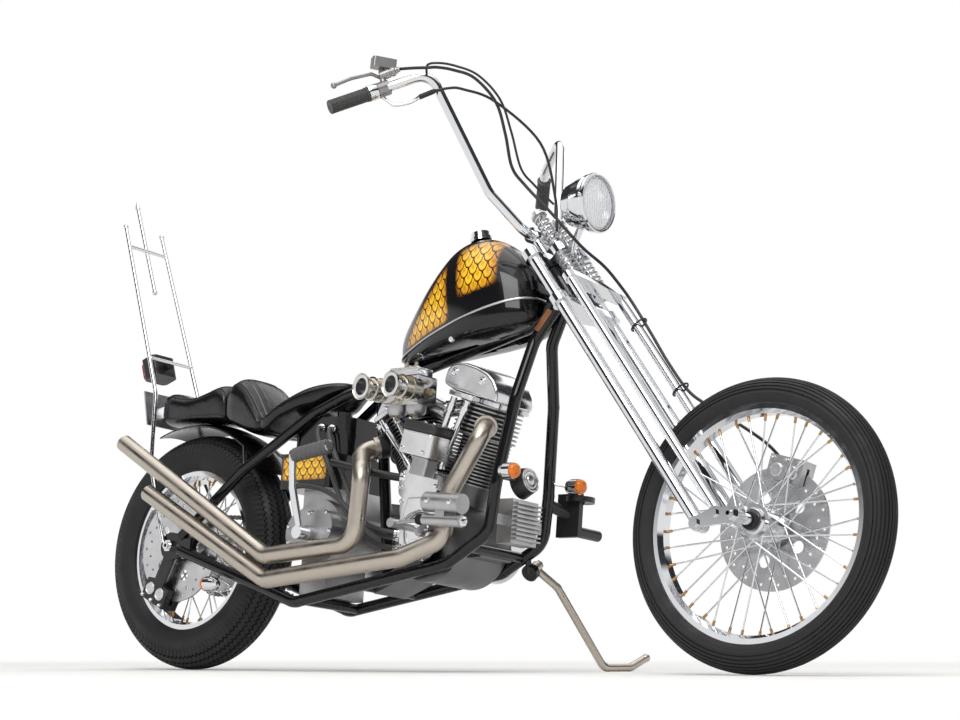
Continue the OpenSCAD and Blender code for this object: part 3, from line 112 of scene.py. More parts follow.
def map_range(tree, value, span, target=(0.0, 1.0), **settings):
    """A value carried from one span to another, and held at the ends."""
    inputs = {"Value": value, "From Min": span[0], "From Max": span[1]}
    inputs |= {"To Min": target[0], "To Max": target[1]}
    return add_node(tree, "ShaderNodeMapRange", inputs, **settings).outputs["Result"]


def colour_mix(tree, factor, a, b):
    return add_node(tree, "ShaderNodeMix", {0: factor, 6: a, 7: b}, data_type="RGBA").outputs[2]


def ramp(tree, factor, stops):
    """Colours that change with a value; a stop is a place and its colour."""
    node = add_node(tree, "ShaderNodeValToRGB", {0: factor})
    elements = node.color_ramp.elements
    while len(elements) < len(stops):
        elements.new(0.5)
    for element, (place, colour) in zip(elements, stops):
        element.position = place
        element.color = (*colour, 1)
    return node.outputs[0]


def object_place(tree):
    """Where a point is on the object, which here is its place on the whole motorcycle."""
    return add_node(tree, "ShaderNodeTexCoord").outputs["Object"]


def axis_of(tree, vector, axis):
    return add_node(tree, "ShaderNodeSeparateXYZ", {0: vector}).outputs[axis]


def noise(tree, place, scale, detail, distortion=0.0):
    inputs = {"Vector": place, "Scale": scale, "Detail": detail, "Distortion": distortion}
    return add_node(tree, "ShaderNodeTexNoise", inputs).outputs["Fac"]


print("node helpers ready")

# %% [markdown]
# A white studio starts with the world, which lights the motorcycle from all round. One plain colour
# would do for paint, but chrome needs something dark to reflect. So the world is white up to well above
# what the camera sees, has a dark band over that, like the black cards of a photographer, and is white
# again overhead. A colour ramp over the height of the looking direction gives all three.

# %% World
# Columns: height of the direction, colour
SKY_BANDS = [
    (0.26, (1, 1, 1)),
    (0.31, (0.03, 0.03, 0.033)),
    (0.64, (0.05, 0.05, 0.055)),
    (0.72, (1, 1, 1)),
    (0.97, (0.8, 0.8, 0.8)),
]

world = bpy.data.worlds.new("studio")
world.use_nodes = True
bpy.context.scene.world = world
sky = world.node_tree
sky.nodes.clear()
direction = add_node(sky, "ShaderNodeTexCoord").outputs["Generated"]
sky_colour = ramp(sky, axis_of(sky, direction, "Z"), SKY_BANDS)
background = add_node(sky, "ShaderNodeBackground", {"Color": sky_colour, "Strength": 1.0})
add_node(sky, "ShaderNodeOutputWorld", {"Surface": background.outputs[0]})
print("world bands:", len(SKY_BANDS))

# %% [markdown]
# The floor is one pale square that keeps the motorcycle's shadow. A curved backdrop could hide its far
# edge, but a fade is simpler: with distance the floor turns into the world's white for every ray that
# shows the background, and the Light Path node tells which rays those are.

# %% Floor
FLOOR_REACH = 60
FLOOR_FADE = (1.7, 4.5)
FLOOR_COLOUR = (0.9, 0.89, 0.87, 1)
FLOOR_ROUGHNESS = 0.7
WHITE = (1, 1, 1, 1)

floor_mesh = bpy.data.meshes.new("floor")
floor_corners = [(x * FLOOR_REACH, y * FLOOR_REACH, 0) for x, y in ((-1, -1), (1, -1), (1, 1), (-1, 1))]
floor_mesh.from_pydata(floor_corners, [], [(0, 1, 2, 3)])
floor = bpy.data.objects.new("floor", floor_mesh)
bpy.context.collection.objects.link(floor)
floor_paint = bpy.data.materials.new("pale_floor")
floor_paint.use_nodes = True
floor_tree = floor_paint.node_tree
floor_shader = floor_tree.nodes["Principled BSDF"]
floor_shader.inputs["Roughness"].default_value = FLOOR_ROUGHNESS
floor_shader.inputs["Base Color"].default_value = FLOOR_COLOUR
distance = add_node(floor_tree, "ShaderNodeVectorMath", {0: object_place(floor_tree)}, operation="LENGTH")
far_off = map_range(floor_tree, distance.outputs["Value"], FLOOR_FADE, interpolation_type="SMOOTHSTEP")
rays = add_node(floor_tree, "ShaderNodeLightPath").outputs
shown = maths(floor_tree, "ADD", rays["Is Camera Ray"], rays["Is Glossy Ray"])
shown = maths(floor_tree, "ADD", shown, rays["Is Transmission Ray"])
shown = maths(floor_tree, "MINIMUM", shown, 1.0)
white = add_node(floor_tree, "ShaderNodeEmission", {"Color": WHITE, "Strength": 1.0})
faded = add_node(floor_tree, "ShaderNodeMixShader", {
    0: maths(floor_tree, "MULTIPLY", far_off, shown),
    1: floor_shader.outputs[0],
    2: white.outputs[0],
})
floor_tree.links.new(faded.outputs[0], floor_tree.nodes["Material Output"].inputs["Surface"])
floor_mesh.materials.append(floor_paint)
print("floor fades over", FLOOR_FADE)

# %% [markdown]
# Three large soft lamps model the forms: a key lamp above the camera's side, a weaker one on the far
# side and one overhead. Area lamps are chosen because their size keeps the shadows soft, and all of
# them look at the middle of the motorcycle.

# %% Studio lamps
LAMP_TARGET = Vector((0, 0, 0.6))
# Columns: name, place, size, power
LAMPS = [
    ("key", (1.5, -3.5, 4.5), 3.0, 150),
    ("left_fill", (-1.0, 4.5, 3.5), 3.0, 40),
    ("top", (-0.5, 0.0, 5.0), 4.0, 60),
]
for name, place, size, power in LAMPS:
    lamp = bpy.data.objects.new(name, bpy.data.lights.new(name, "AREA"))
    lamp.data.energy = power
    lamp.data.size = size
    lamp.location = place
    lamp.rotation_euler = (LAMP_TARGET - Vector(place)).to_track_quat("-Z", "Y").to_euler()
    bpy.context.collection.objects.link(lamp)
print("lamps:", len(LAMPS))

# %% [markdown]
# Two effects come back on most finishes: a soft mottling that varies the shine, as handling and dust
# do, and a fine grain, as on a casting or on rubber. Each could be built again in every material, but as
# a node group it is built once and placed wherever it is needed, with its own values. A group puts out
# only a value; the shader itself stays in each material.


# %% Shared effects
def effect_group(name, inputs, output):
    """A node group with number sockets; gives the group, its inputs and the socket for its result."""
    group = bpy.data.node_groups.new(name, "ShaderNodeTree")
    for socket, value in inputs.items():
        made = group.interface.new_socket(socket, in_out="INPUT", socket_type="NodeSocketFloat")
        made.default_value = value
    group.interface.new_socket(output, in_out="OUTPUT", socket_type="NodeSocketFloat")
    source = group.nodes.new("NodeGroupInput")
    sink = group.nodes.new("NodeGroupOutput")
    return group, source.outputs, sink.inputs[output]


mottle, mottle_in, mottle_out = effect_group("mottle", {"Scale": 18.0, "Low": 0.1, "High": 0.3}, "Value")
cloud = noise(mottle, object_place(mottle), mottle_in["Scale"], 5.0)
mottle.links.new(map_range(mottle, cloud, (0.3, 0.7), (mottle_in["Low"], mottle_in["High"])), mottle_out)

grain, grain_in, grain_out = effect_group("grain", {"Scale": 600.0, "Coarse": 60.0}, "Height")
grain_place = object_place(grain)
fine = noise(grain, grain_place, grain_in["Scale"], 2.0)
coarse = noise(grain, grain_place, grain_in["Coarse"], 3.0)
grain.links.new(maths(grain, "ADD", fine, coarse), grain_out)
print("effects:", mottle.name, grain.name)

# %% [markdown]
# Most finishes differ only in colour, metal, shine and grain. One helper therefore makes a material from
# those four and sets any other socket by name. A second helper lays another colour over part of a
# finish, through a mask.


# %% Material helpers
def shader_of(material):
    return material.node_tree.nodes["Principled BSDF"]


def use_effect(tree, group, **values):
    """A shared effect placed in a tree, with its inputs set or linked."""
    return add_node(tree, "ShaderNodeGroup", values, node_tree=group).outputs[0]


def bump(tree, height, strength, depth):
    node = add_node(tree, "ShaderNodeBump", {"Height": height, "Strength": strength, "Distance": depth})
    return node.outputs["Normal"]


def finish_material(name, colour, metallic=0.0, shine=(0.1, 0.3), mottle_scale=18.0, grain_bump=None,
                    **sockets):
    """A finish with mottled roughness; grain_bump is fine scale, coarse scale, strength and depth."""
    made = bpy.data.materials.new(name)
    made.use_nodes = True
    tree = made.node_tree
    shader = shader_of(made)
    shader.inputs["Base Color"].default_value = (*colour, 1)
    shader.inputs["Metallic"].default_value = metallic
    roughness = use_effect(tree, mottle, Scale=mottle_scale, Low=shine[0], High=shine[1])
    tree.links.new(roughness, shader.inputs["Roughness"])
    if grain_bump:
        fine_scale, coarse_scale, strength, depth = grain_bump
        height = use_effect(tree, grain, Scale=fine_scale, Coarse=coarse_scale)
        tree.links.new(bump(tree, height, strength, depth), shader.inputs["Normal"])
    for socket, value in sockets.items():
        shader.inputs[socket.replace("_", " ")].default_value = value
    return made


def tint(made, mask, colour, metallic=None):
    """Lays a second colour over a material's own, and another metal share, where the mask is 1."""
    tree = made.node_tree
    shader = shader_of(made)
    base = shader.inputs["Base Color"]
    tree.links.new(colour_mix(tree, mask, tuple(base.default_value), (*colour, 1)), base)
    if metallic is not None:
        plain = shader.inputs["Metallic"].default_value
        tree.links.new(map_range(tree, mask, (0.0, 1.0), (plain, metallic)), shader.inputs["Metallic"])


print("material helpers ready")

# %% [markdown]
# The finishes of the real machine: deep black paint under a clear coat, chrome, polished, cast and
# sooty aluminium, the warm satin plating of the exhausts, black cylinder barrels and rubber. The clear
# coat is a second, sharper shine over a dull black, which keeps the paint dark beside its reflections.

# %% Finishes
PAINT_BLACK = (0.004, 0.004, 0.005)
PAINT_SHINE = (0.2, 0.35)
PAINT_COAT = {"Specular_IOR_Level": 0.1, "Coat_Weight": 0.75, "Coat_Roughness": 0.02}
CAST_GRAIN = (900.0, 220.0, 0.25, 0.0006)

black_paint = finish_material("black_paint", PAINT_BLACK, shine=PAINT_SHINE, **PAINT_COAT)
chrome = finish_material("chrome", (0.72, 0.73, 0.75), 1.0, shine=(0.06, 0.13), mottle_scale=30.0)
satin_chrome = finish_material("satin_chrome", (0.66, 0.66, 0.67), 1.0, shine=(0.26, 0.36),
                               mottle_scale=30.0)
polished_alloy = finish_material("polished_alloy", (0.70, 0.70, 0.71), 1.0, shine=(0.12, 0.24),
                                 mottle_scale=26.0)
cast_alloy = finish_material("cast_alloy", (0.50, 0.50, 0.51), 1.0, shine=(0.3, 0.5), grain_bump=CAST_GRAIN)
sooty_alloy = finish_material("sooty_alloy", (0.20, 0.20, 0.205), 1.0, shine=(0.3, 0.5),
                              grain_bump=CAST_GRAIN)
pipe_plating = finish_material("pipe_plating", (0.50, 0.45, 0.39), 1.0, shine=(0.24, 0.42),
                               grain_bump=(700.0, 60.0, 0.08, 0.0004))
barrel_black = finish_material("barrel_black", (0.012, 0.012, 0.013), shine=(0.3, 0.45),
                               grain_bump=(800.0, 200.0, 0.2, 0.0004))
ground_steel = finish_material("ground_steel", (0.60, 0.60, 0.61), 1.0, shine=(0.2, 0.38),
                               grain_bump=(1200.0, 200.0, 0.1, 0.0003))
chain_steel = finish_material("chain_steel", (0.22, 0.21, 0.20), 1.0, shine=(0.3, 0.5))
rubber = finish_material("rubber", (0.020, 0.020, 0.021), shine=(0.45, 0.7),
                         grain_bump=(1500.0, 300.0, 0.15, 0.0004), Specular_IOR_Level=0.3)
sheath = finish_material("cable_sheath", (0.012, 0.012, 0.012), shine=(0.35, 0.5))
black_plastic = finish_material("black_plastic", (0.014, 0.014, 0.015), shine=(0.3, 0.45),
                                grain_bump=(1400.0, 300.0, 0.1, 0.0003))
stains = use_effect(cast_alloy.node_tree, mottle, Scale=40.0, Low=0.0, High=0.35)
tint(cast_alloy, stains, (0.33, 0.32, 0.31))
print("finishes ready")

# %% [markdown]
# Each solid part gets one finish. A table with a finish and the names of the parts that have it is easy
# to check against a picture, and the last line tells whether a part was forgotten.

# %% Finish of each part
FINISHES = [
    (black_paint, "frame_head frame_rails frame_stays frame_crossmembers rear_fender oil_tank "
                  "fuel_tank seat"),
    (satin_chrome, "fork_springs plate_bracket"),
    (chrome, "front_wheel rear_wheel rear_axle fork_bridges fork_rockers fork_rigid_legs fork_front_legs "
             "front_axle handlebar headlight_shell fuel_cap sissy_bar pushrod_tubes kick_lever indicators"),
    (polished_alloy, "cam_cover rocker_boxes primary_cover carburettor"),
    (sooty_alloy, "crankcase"),
    (cast_alloy, "magneto gearbox brake_master regulator front_caliper"),
    (barrel_black, "cylinders cylinder_heads"),
    (pipe_plating, "exhaust_front exhaust_rear side_stand"),
    (ground_steel, "front_disc rear_disc rear_sprocket"),
    (chain_steel, "drive_chain"),
    (rubber, "front_tyre rear_tyre hand_grips"),
    (sheath, "throttle_cable brake_hose switch_wire"),
    (black_plastic, "foot_control horn rear_caliper tail_lamp"),
]


def dress(piece, material):
    piece.data.materials.clear()
    piece.data.materials.append(material)


for material, names in FINISHES:
    for name in names.split():
        dress(parts[name], material)
undressed = set(parts) - {name for _, names in FINISHES for name in names.split()}
print("parts that get a finish later:", sorted(undressed))

# %% [markdown]
# The motorcycle leans on its stand and its fork is turned a little. Pieces could be measured as they
# stand, but sizes are plainer on an upright machine. So two matrices carry upright places into the
# parked ones: one for the frame, and one for all that steers, measured along the steering axis.

# %% Parked frame and fork
LEAN = math.radians(6)
RAKE = math.radians(38.5)
STEER = math.radians(3.5)
PARKED_SHIFT = Vector((-0.8825, -0.1399975, 0.0003506))
REAR_TYRE_R = 0.322
FRONT_TYRE_R = 0.345
WHEELBASE = 1.830
FORK_OFFSET = 0.100

parked = Matrix.Translation(PARKED_SHIFT) @ Matrix.Rotation(-LEAN, 4, "X")
parked_turn = parked.to_3x3()
steering_foot = Vector((
    WHEELBASE - FORK_OFFSET * math.cos(RAKE),
    0,
    FRONT_TYRE_R - FORK_OFFSET * math.sin(RAKE),
))
steering_turn = Matrix.Rotation(-RAKE, 4, "Y") @ Matrix.Rotation(STEER, 4, "Z")
steered = parked @ Matrix.Translation(steering_foot) @ steering_turn
steered_turn = steered.to_3x3()
axle_turn = Matrix.Rotation(-math.pi / 2, 4, "X")
rear_axle = parked @ Matrix.Translation((0, 0, REAR_TYRE_R)) @ axle_turn
front_axle = steered @ Matrix.Translation((FORK_OFFSET, 0, 0)) @ axle_turn
print("rear axle at", tuple(round(v, 3) for v in rear_axle.translation))

# %% [markdown]
# Tyres, pads, the tank, screws and plates are all rings of points joined by quads. One helper works out
# those faces, and another makes the mesh and lets it move with a body.


# %% Mesh helpers
def tube_faces(rings, sides, start=0, joined=False):
    """Faces of a tube through rings of points, capped, or with its last ring joined to the first."""
    faces = []
    if not joined:
        last = start + (rings - 1) * sides
        faces.append(tuple(start + i for i in reversed(range(sides))))
        faces.append(tuple(last + i for i in range(sides)))
    for j in range(rings if joined else rings - 1):
        low = start + j * sides
        high = start + (j + 1) % rings * sides
        for i in range(sides):
            k = (i + 1) % sides
            faces.append((low + i, low + k, high + k, high + i))
    return faces


def add_piece(name, points, faces, material, body):
    """A smooth mesh piece that moves with one body."""
    mesh = bpy.data.meshes.new(name)
    mesh.from_pydata([tuple(p) for p in points], [], faces)
    mesh.validate()
    mesh.polygons.foreach_set("use_smooth", [True] * len(mesh.polygons))
    piece = bpy.data.objects.new(name, mesh)
    bpy.context.collection.objects.link(piece)
    mesh.materials.append(material)
    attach(piece, body)
    return piece


print("mesh helpers ready")

# %% [markdown]
# A tyre is one section swept round the axle. The tread is cut into that section: the front tyre has
# plain ribs that run all the way round, and on the rear tyre the same grooves swing from side to side
# in a zigzag, which is done by shifting the section a little at every step. A bump could paint the
# grooves, but modelling them keeps the broken outline that a low camera sees.

# %% Tyres
# Angles round a tyre's section, in degrees from the middle of the tread
TREAD_EDGE = 66
SHOULDER_END = 72
SIDEWALL = (66, 72, 80, 90, 95, 100, 108, 118, 128)
RIDGES = (95, 108)
RIDGE_HEIGHT = 0.0012
GROOVE_HALF = 2.6
GROOVE_FLOOR = 0.7
TREAD_CREASE = math.radians(34)


def tyre_section(grooves, depth):
    """Angles round the section from one bead to the other, each with its depth of groove."""
    marks = [(side * angle, 0.0) for side in (-1, 1) for angle in SIDEWALL]
    marks = [mark for mark in marks if all(abs(mark[0] - groove) > GROOVE_HALF + 1 for groove in grooves)]
    for groove in grooves:
        for side in (-1, 1):
            marks.append((groove + side * GROOVE_HALF, 0.0))
            marks.append((groove + side * GROOVE_HALF * GROOVE_FLOOR, depth))
    marks += [((low + high) / 2, 0.0) for low, high in zip(grooves, grooves[1:])]
    return sorted(marks)


def add_tyre(name, node, body, axle, radius, width, bead_r, section, steps, zig=0.0, zigs=1, notch=0.0):
    """A section swept round an axle, whose tread swings by zig degrees as often as zigs says."""
    half = width / 2
    points = []
    for k in range(steps):
        turn = 2 * math.pi * k / steps
        phase = (k * zigs / steps) % 1
        swing = zig * (4 * abs(phase - 0.5) - 1)
        for degrees, depth in section:
            reach = abs(degrees)
            angle = math.radians(degrees + (swing if reach < TREAD_EDGE else 0))
            cut = notch if TREAD_EDGE <= reach <= SHOULDER_END and phase < 0.5 else 0.0
            thick = half - depth - cut + (RIDGE_HEIGHT if reach in RIDGES else 0.0)
            r = max(radius - half + thick * math.cos(angle), bead_r)
            points.append(axle @ Vector((r * math.cos(turn), r * math.sin(turn), thick * math.sin(angle))))
    faces = [face[::-1] for face in tube_faces(steps, len(section), joined=True)]
    tyre = add_piece(name, points, faces, rubber, body)
    tyre.data.set_sharp_from_angle(angle=TREAD_CREASE)
    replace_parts(tyre, node)
    return tyre


front_grooves = [side * (6 + 13 * k) for side in (-1, 1) for k in range(7)]
rear_grooves = [18 * k for k in range(-3, 4)]
front_section = tyre_section(sorted(front_grooves), depth=0.003)
rear_section = tyre_section(rear_grooves, depth=0.005)
front_tread = add_tyre("front_tread", "front_tyre", "front_wheel_set", front_axle, FRONT_TYRE_R,
                       width=0.080, bead_r=0.2805, section=front_section, steps=216)
rear_tread = add_tyre("rear_tread", "rear_tyre", "rear_wheel_set", rear_axle, REAR_TYRE_R,
                      width=0.128, bead_r=0.2185, section=rear_section, steps=960,
                      zig=3.4, zigs=120, notch=0.003)
print("tyre faces:", len(front_tread.data.polygons), len(rear_tread.data.polygons))

# %% [markdown]
# The seat is padded leather over foam. Its pads, and the tank later, are lofted: sections are placed at
# a few stations along the motorcycle, and a smooth curve through the stations fills in the rest. The
# curve passes through every station, so each one can be read off a picture.


# %% Loft helpers
def curve_value(a, b, c, d, t):
    """The value a share t of the way from b to c, on a smooth curve through a, b, c and d."""
    bend = (2 * a - 5 * b + 4 * c - d) * t * t
    twist = (3 * b - a - 3 * c + d) * t ** 3
    return 0.5 * (2 * b + (c - a) * t + bend + twist)


def smooth_rows(rows, steps):
    """Rows of numbers with smooth ones put in between them."""
    made = []
    last = len(rows) - 1
    for i in range(last):
        around = [rows[min(max(i + k, 0), last)] for k in (-1, 0, 1, 2)]
        for k in range(steps):
            made.append([curve_value(*values, k / steps) for values in zip(*around)])
    made.append(list(rows[last]))
    return made


def signed_power(value, power):
    return math.copysign(abs(value) ** power, value)


print("loft helpers ready")

# %% [markdown]
# Seat leather is black and shiny, with fine pebbles and wide soft creases. An image could give both, but
# two procedural textures need no map: small cells make the pebbles and a bent noise the creases, and
# together they drive one bump.

# %% Leather
leather = finish_material("black_leather", (0.008, 0.008, 0.009), shine=(0.12, 0.26), mottle_scale=30.0,
                          Specular_IOR_Level=0.45)
leather_tree = leather.node_tree
leather_place = object_place(leather_tree)
pebbles = add_node(leather_tree, "ShaderNodeTexVoronoi", {"Vector": leather_place, "Scale": 420.0})
creases = noise(leather_tree, leather_place, 26.0, 6.0, distortion=1.2)
relief = maths(leather_tree, "MULTIPLY_ADD", pebbles.outputs["Distance"], 0.12, creases)
leather_tree.links.new(bump(leather_tree, relief, 0.28, 0.004), shader_of(leather).inputs["Normal"])
print("leather ready")

# %% [markdown]
# The seat is three padded forms: a pillion pad with a dip in it, a hump whose front face is pleated, and
# a long front pad that runs down to the tank. Each section is rounded above and flatter below, where the
# pad rests. The pleats are pressed into the points of the hump itself, so that they catch the light.

# %% Seat pads
# Stations upright; columns: ahead of the rear axle, low, top, half width
PILLION = [
    (-148, 700, 724, 42), (-143, 682, 750, 58), (-133, 674, 764, 66), (-110, 672, 765, 73),
    (-47, 674, 750, 80), (0, 674, 752, 82), (45, 672, 764, 84), (75, 670, 774, 85), (100, 668, 772, 86),
    (116, 669, 757, 84), (124, 676, 732, 78),
]
HUMP = [
    (127, 690, 735, 74), (133, 666, 764, 84), (146, 655, 780, 90), (165, 648, 788, 95),
    (187, 640, 785, 98), (210, 632, 768, 101), (235, 628, 740, 104), (258, 626, 707, 106),
    (274, 626, 680, 106), (284, 632, 660, 98),
]
FRONT_PAD = [
    (280, 636, 654, 92), (290, 628, 668, 106), (315, 626, 686, 112), (350, 653, 704, 112),
    (390, 669, 724, 108), (430, 683, 741, 100), (465, 690, 751, 90), (500, 711, 754, 76),
    (530, 726, 753, 60), (548, 738, 750, 42),
]
PAD_SIDES = 64
PAD_STEPS = 5
SIDE_POWER = 0.6
TOP_POWER = 0.75
BOTTOM_POWER = 0.4
PLEATS = 9
PLEAT_DEPTH = 0.006
PLEAT_FROM = 0.175
PLEAT_TO = 0.280
PLEAT_RISE = 0.15
# How soon a pleat is full: after its start, before its end, and up the section
PLEAT_FADES = (0.02, 0.012, 0.25)


def pleat_depth(x, y, half_w, rise):
    """How far a pleat is pressed in; rise is the sine of the place round the section."""
    if rise <= PLEAT_RISE or not PLEAT_FROM < x < PLEAT_TO:
        return 0.0
    start, end, up = PLEAT_FADES
    fade = min(1, (x - PLEAT_FROM) / start, (PLEAT_TO - x) / end) * min(1, (rise - PLEAT_RISE) / up)
    crease = abs(math.cos(PLEATS * math.pi / 2 * y / half_w)) ** 0.5
    return PLEAT_DEPTH * fade * (1 - crease)


def add_pad(name, stations, pleated=False):
    rows = smooth_rows([mm(*station) for station in stations], PAD_STEPS)
    points = []
    for x, low, top, half_w in rows:
        for k in range(PAD_SIDES):
            turn = 2 * math.pi * k / PAD_SIDES
            rise = math.sin(turn)
            y = half_w * signed_power(math.cos(turn), SIDE_POWER)
            power = TOP_POWER if rise > 0 else BOTTOM_POWER
            z = (low + top) / 2 + (top - low) / 2 * signed_power(rise, power)
            inward = pleat_depth(x, y, half_w, rise) if pleated else 0.0
            points.append(parked @ Vector((x - inward, y, z - inward)))
    pad = add_piece(name, points, tube_faces(len(rows), PAD_SIDES), leather, "chassis")
    rounder = pad.modifiers.new("rounder", "SUBSURF")
    rounder.levels = rounder.render_levels = 1
    return pad, rows


seat_pads = {
    "pillion": add_pad("pillion_pad", PILLION),
    "hump": add_pad("seat_hump", HUMP, pleated=True),
    "front": add_pad("front_pad", FRONT_PAD),
}
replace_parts(seat_pads["pillion"][0], "seat")
print("seat pads:", list(seat_pads))

# %% [markdown]
# A tube along a line is wanted for piping, cables, hoses and ties. A mesh could be swept by hand, but a
# curve with a round bevel does the same, and its points stay editable. Its first use is the piping that
# covers the seams on both sides of each pad.


# %% Tube helper and piping
def add_tube(name, points, diameter, material, body, closed=False):
    curve = bpy.data.curves.new(name, "CURVE")
    curve.dimensions = "3D"
    curve.bevel_depth = diameter / 2
    curve.bevel_resolution = 4
    curve.use_fill_caps = not closed
    spline = curve.splines.new("POLY")
    spline.points.add(len(points) - 1)
    for point, place in zip(spline.points, points):
        point.co = (*place, 1)
    spline.use_cyclic_u = closed
    spline.use_smooth = True
    tube = bpy.data.objects.new(name, curve)
    bpy.context.collection.objects.link(tube)
    curve.materials.append(material)
    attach(tube, body)
    return tube


PIPING_TURN = math.radians(38)
PIPING_D = 0.005
PIPING_SINK = 0.001
for label, (_, rows) in seat_pads.items():
    for side, side_name in ((-1, "right"), (1, "left")):
        line = []
        for x, low, top, half_w in rows[2:-2]:
            y = side * half_w * math.cos(PIPING_TURN) ** SIDE_POWER
            z = (low + top) / 2 + (top - low) / 2 * math.sin(PIPING_TURN) ** TOP_POWER
            line.append(parked @ Vector((x, y, z - PIPING_SINK)))
        add_tube(f"{label}_piping_{side_name}", line, PIPING_D, leather, "chassis")
print("piping done")

# %% [markdown]
# The painted panels carry a plain row-on-row scale pattern in gold and orange. An image would fix its
# sharpness, so it is drawn by arithmetic: each row of round scales hangs over the row below it, half a
# step along, and a point that the scale of its own row doesn't reach belongs to the row below. The group
# puts out how far the point is from the middle of its scale, and each panel turns that into colour.

# %% Scale pattern
# In scale widths
SCALE_ROW = 0.5
SCALE_R = 0.5

scales, scales_in, scales_out = effect_group("scale_rows", {"Across": 0.0, "Up": 0.0}, "Distance")
row_place = maths(scales, "DIVIDE", scales_in["Up"], SCALE_ROW)
row = maths(scales, "FLOOR", row_place)
in_row = maths(scales, "SUBTRACT", row_place, row)


def square(tree, value):
    return maths(tree, "POWER", maths(tree, "ABSOLUTE", value), 2.0)


def scale_distance(row_step):
    """Distance from the middle of the scale in this row or another, in scale widths."""
    parity = maths(scales, "FLOORED_MODULO", maths(scales, "ADD", row, row_step), 2.0)
    shifted = maths(scales, "MULTIPLY_ADD", parity, 0.5, scales_in["Across"])
    sideways = maths(scales, "SUBTRACT", maths(scales, "FRACT", shifted), 0.5)
    upward = maths(scales, "MULTIPLY", maths(scales, "SUBTRACT", row_step + 1.0, in_row), SCALE_ROW)
    return maths(scales, "SQRT", maths(scales, "ADD", square(scales, sideways), square(scales, upward)))


own = scale_distance(0)
reached = maths(scales, "LESS_THAN", own, SCALE_R)
missed = maths(scales, "SUBTRACT", 1.0, reached)
from_own = maths(scales, "MULTIPLY", reached, own)
from_below = maths(scales, "MULTIPLY", missed, scale_distance(-1))
scales.links.new(maths(scales, "ADD", from_own, from_below), scales_out)
print("scale pattern ready")

# %% [markdown]
# A panel is black paint that turns into scales inside a soft border. Towards the border the gold fades to
# brown and then to the paint. Making the paint takes the way along and the way up the surface, and a
# function that says where its panels are, so the tank and the battery box share it.

# %% Panel paint
# Columns: distance from the middle of a scale, colour
SCALE_GOLD = [
    (0.10, (0.80, 0.36, 0.02)),
    (0.26, (1.0, 0.66, 0.04)),
    (0.38, (0.95, 0.50, 0.02)),
    (0.425, (0.40, 0.12, 0.01)),
    (0.44, (0.003, 0.003, 0.003)),
]
SCALE_INSIDE = [(0.425, (1, 1, 1)), (0.44, (0, 0, 0))]
SCALE_LINE = (0.003, 0.003, 0.003, 1)
DUSK_BROWN = (0.30, 0.05, 0.004, 1)
PANEL_GROUND = (0.006, 0.006, 0.007, 1)


def panel_fade(tree, value, low, high, soft):
    """A mask that is 1 between two values and falls off softly inside them."""
    rise = map_range(tree, value, (low, low + soft))
    fall = map_range(tree, value, (high, high - soft))
    return maths(tree, "MULTIPLY", rise, fall)


def scale_paint(name, pitch, across, up, panels):
    """Black paint with scale panels; pitch is a scale's width and its height in metres."""
    made = finish_material(name, PAINT_BLACK, shine=PAINT_SHINE, **PAINT_COAT)
    tree = made.node_tree
    along = across(tree)
    height = up(tree)
    steps = {
        "Across": maths(tree, "DIVIDE", along, pitch[0]),
        "Up": maths(tree, "DIVIDE", height, pitch[1]),
    }
    from_middle = use_effect(tree, scales, **steps)
    fade = panels(tree, along, height)
    gold = ramp(tree, from_middle, SCALE_GOLD)
    dusk = colour_mix(tree, maths(tree, "POWER", fade, 0.6), DUSK_BROWN, gold)
    painted = colour_mix(tree, ramp(tree, from_middle, SCALE_INSIDE), SCALE_LINE, dusk)
    inside = map_range(tree, fade, (0.02, 0.25))
    colour = colour_mix(tree, inside, PANEL_GROUND, painted)
    tree.links.new(colour, shader_of(made).inputs["Base Color"])
    return made


print("panel paint ready")

# %% [markdown]
# On the tank each side has two panels, a tall one near the front and a slanting one behind it. The
# pattern needs a flat map, so the tank keeps the distance along it and the height above its seam as its
# UV map, and both panels are measured there.

# %% Tank panels
# Columns: start, end and softness of the edge, in metres
TALL_ALONG = (0.262, 0.392, 0.04)
TALL_UP = (0.050, 0.205, 0.04)
REAR_ALONG = (0.010, 0.232, 0.03)
REAR_UP = (0.006, 0.30, 0.025)
# Slanting top of the rear panel: rise for each metre along, height at the start, softness
SLANT_RISE = 0.80
SLANT_START = -0.002
SLANT_SOFT = 0.04


def panel_map(tree):
    return add_node(tree, "ShaderNodeUVMap", uv_map="panel").outputs[0]


def tank_along(tree):
    return axis_of(tree, panel_map(tree), "X")


def tank_height(tree):
    return axis_of(tree, panel_map(tree), "Y")


def tank_panels(tree, along, up):
    tall_x = panel_fade(tree, along, *TALL_ALONG)
    tall_z = panel_fade(tree, up, *TALL_UP)
    rear_x = panel_fade(tree, along, *REAR_ALONG)
    rear_z = panel_fade(tree, up, *REAR_UP)
    slope = maths(tree, "MULTIPLY_ADD", along, SLANT_RISE, SLANT_START)
    under_slope = map_range(tree, maths(tree, "SUBTRACT", slope, up), (0.0, SLANT_SOFT))
    rear = maths(tree, "MULTIPLY", maths(tree, "MULTIPLY", rear_x, rear_z), under_slope)
    return maths(tree, "MAXIMUM", maths(tree, "MULTIPLY", tall_x, tall_z), rear)


tank_paint = scale_paint("tank_paint", (0.028, 0.050), tank_along, tank_height, tank_panels)
print("tank paint ready")
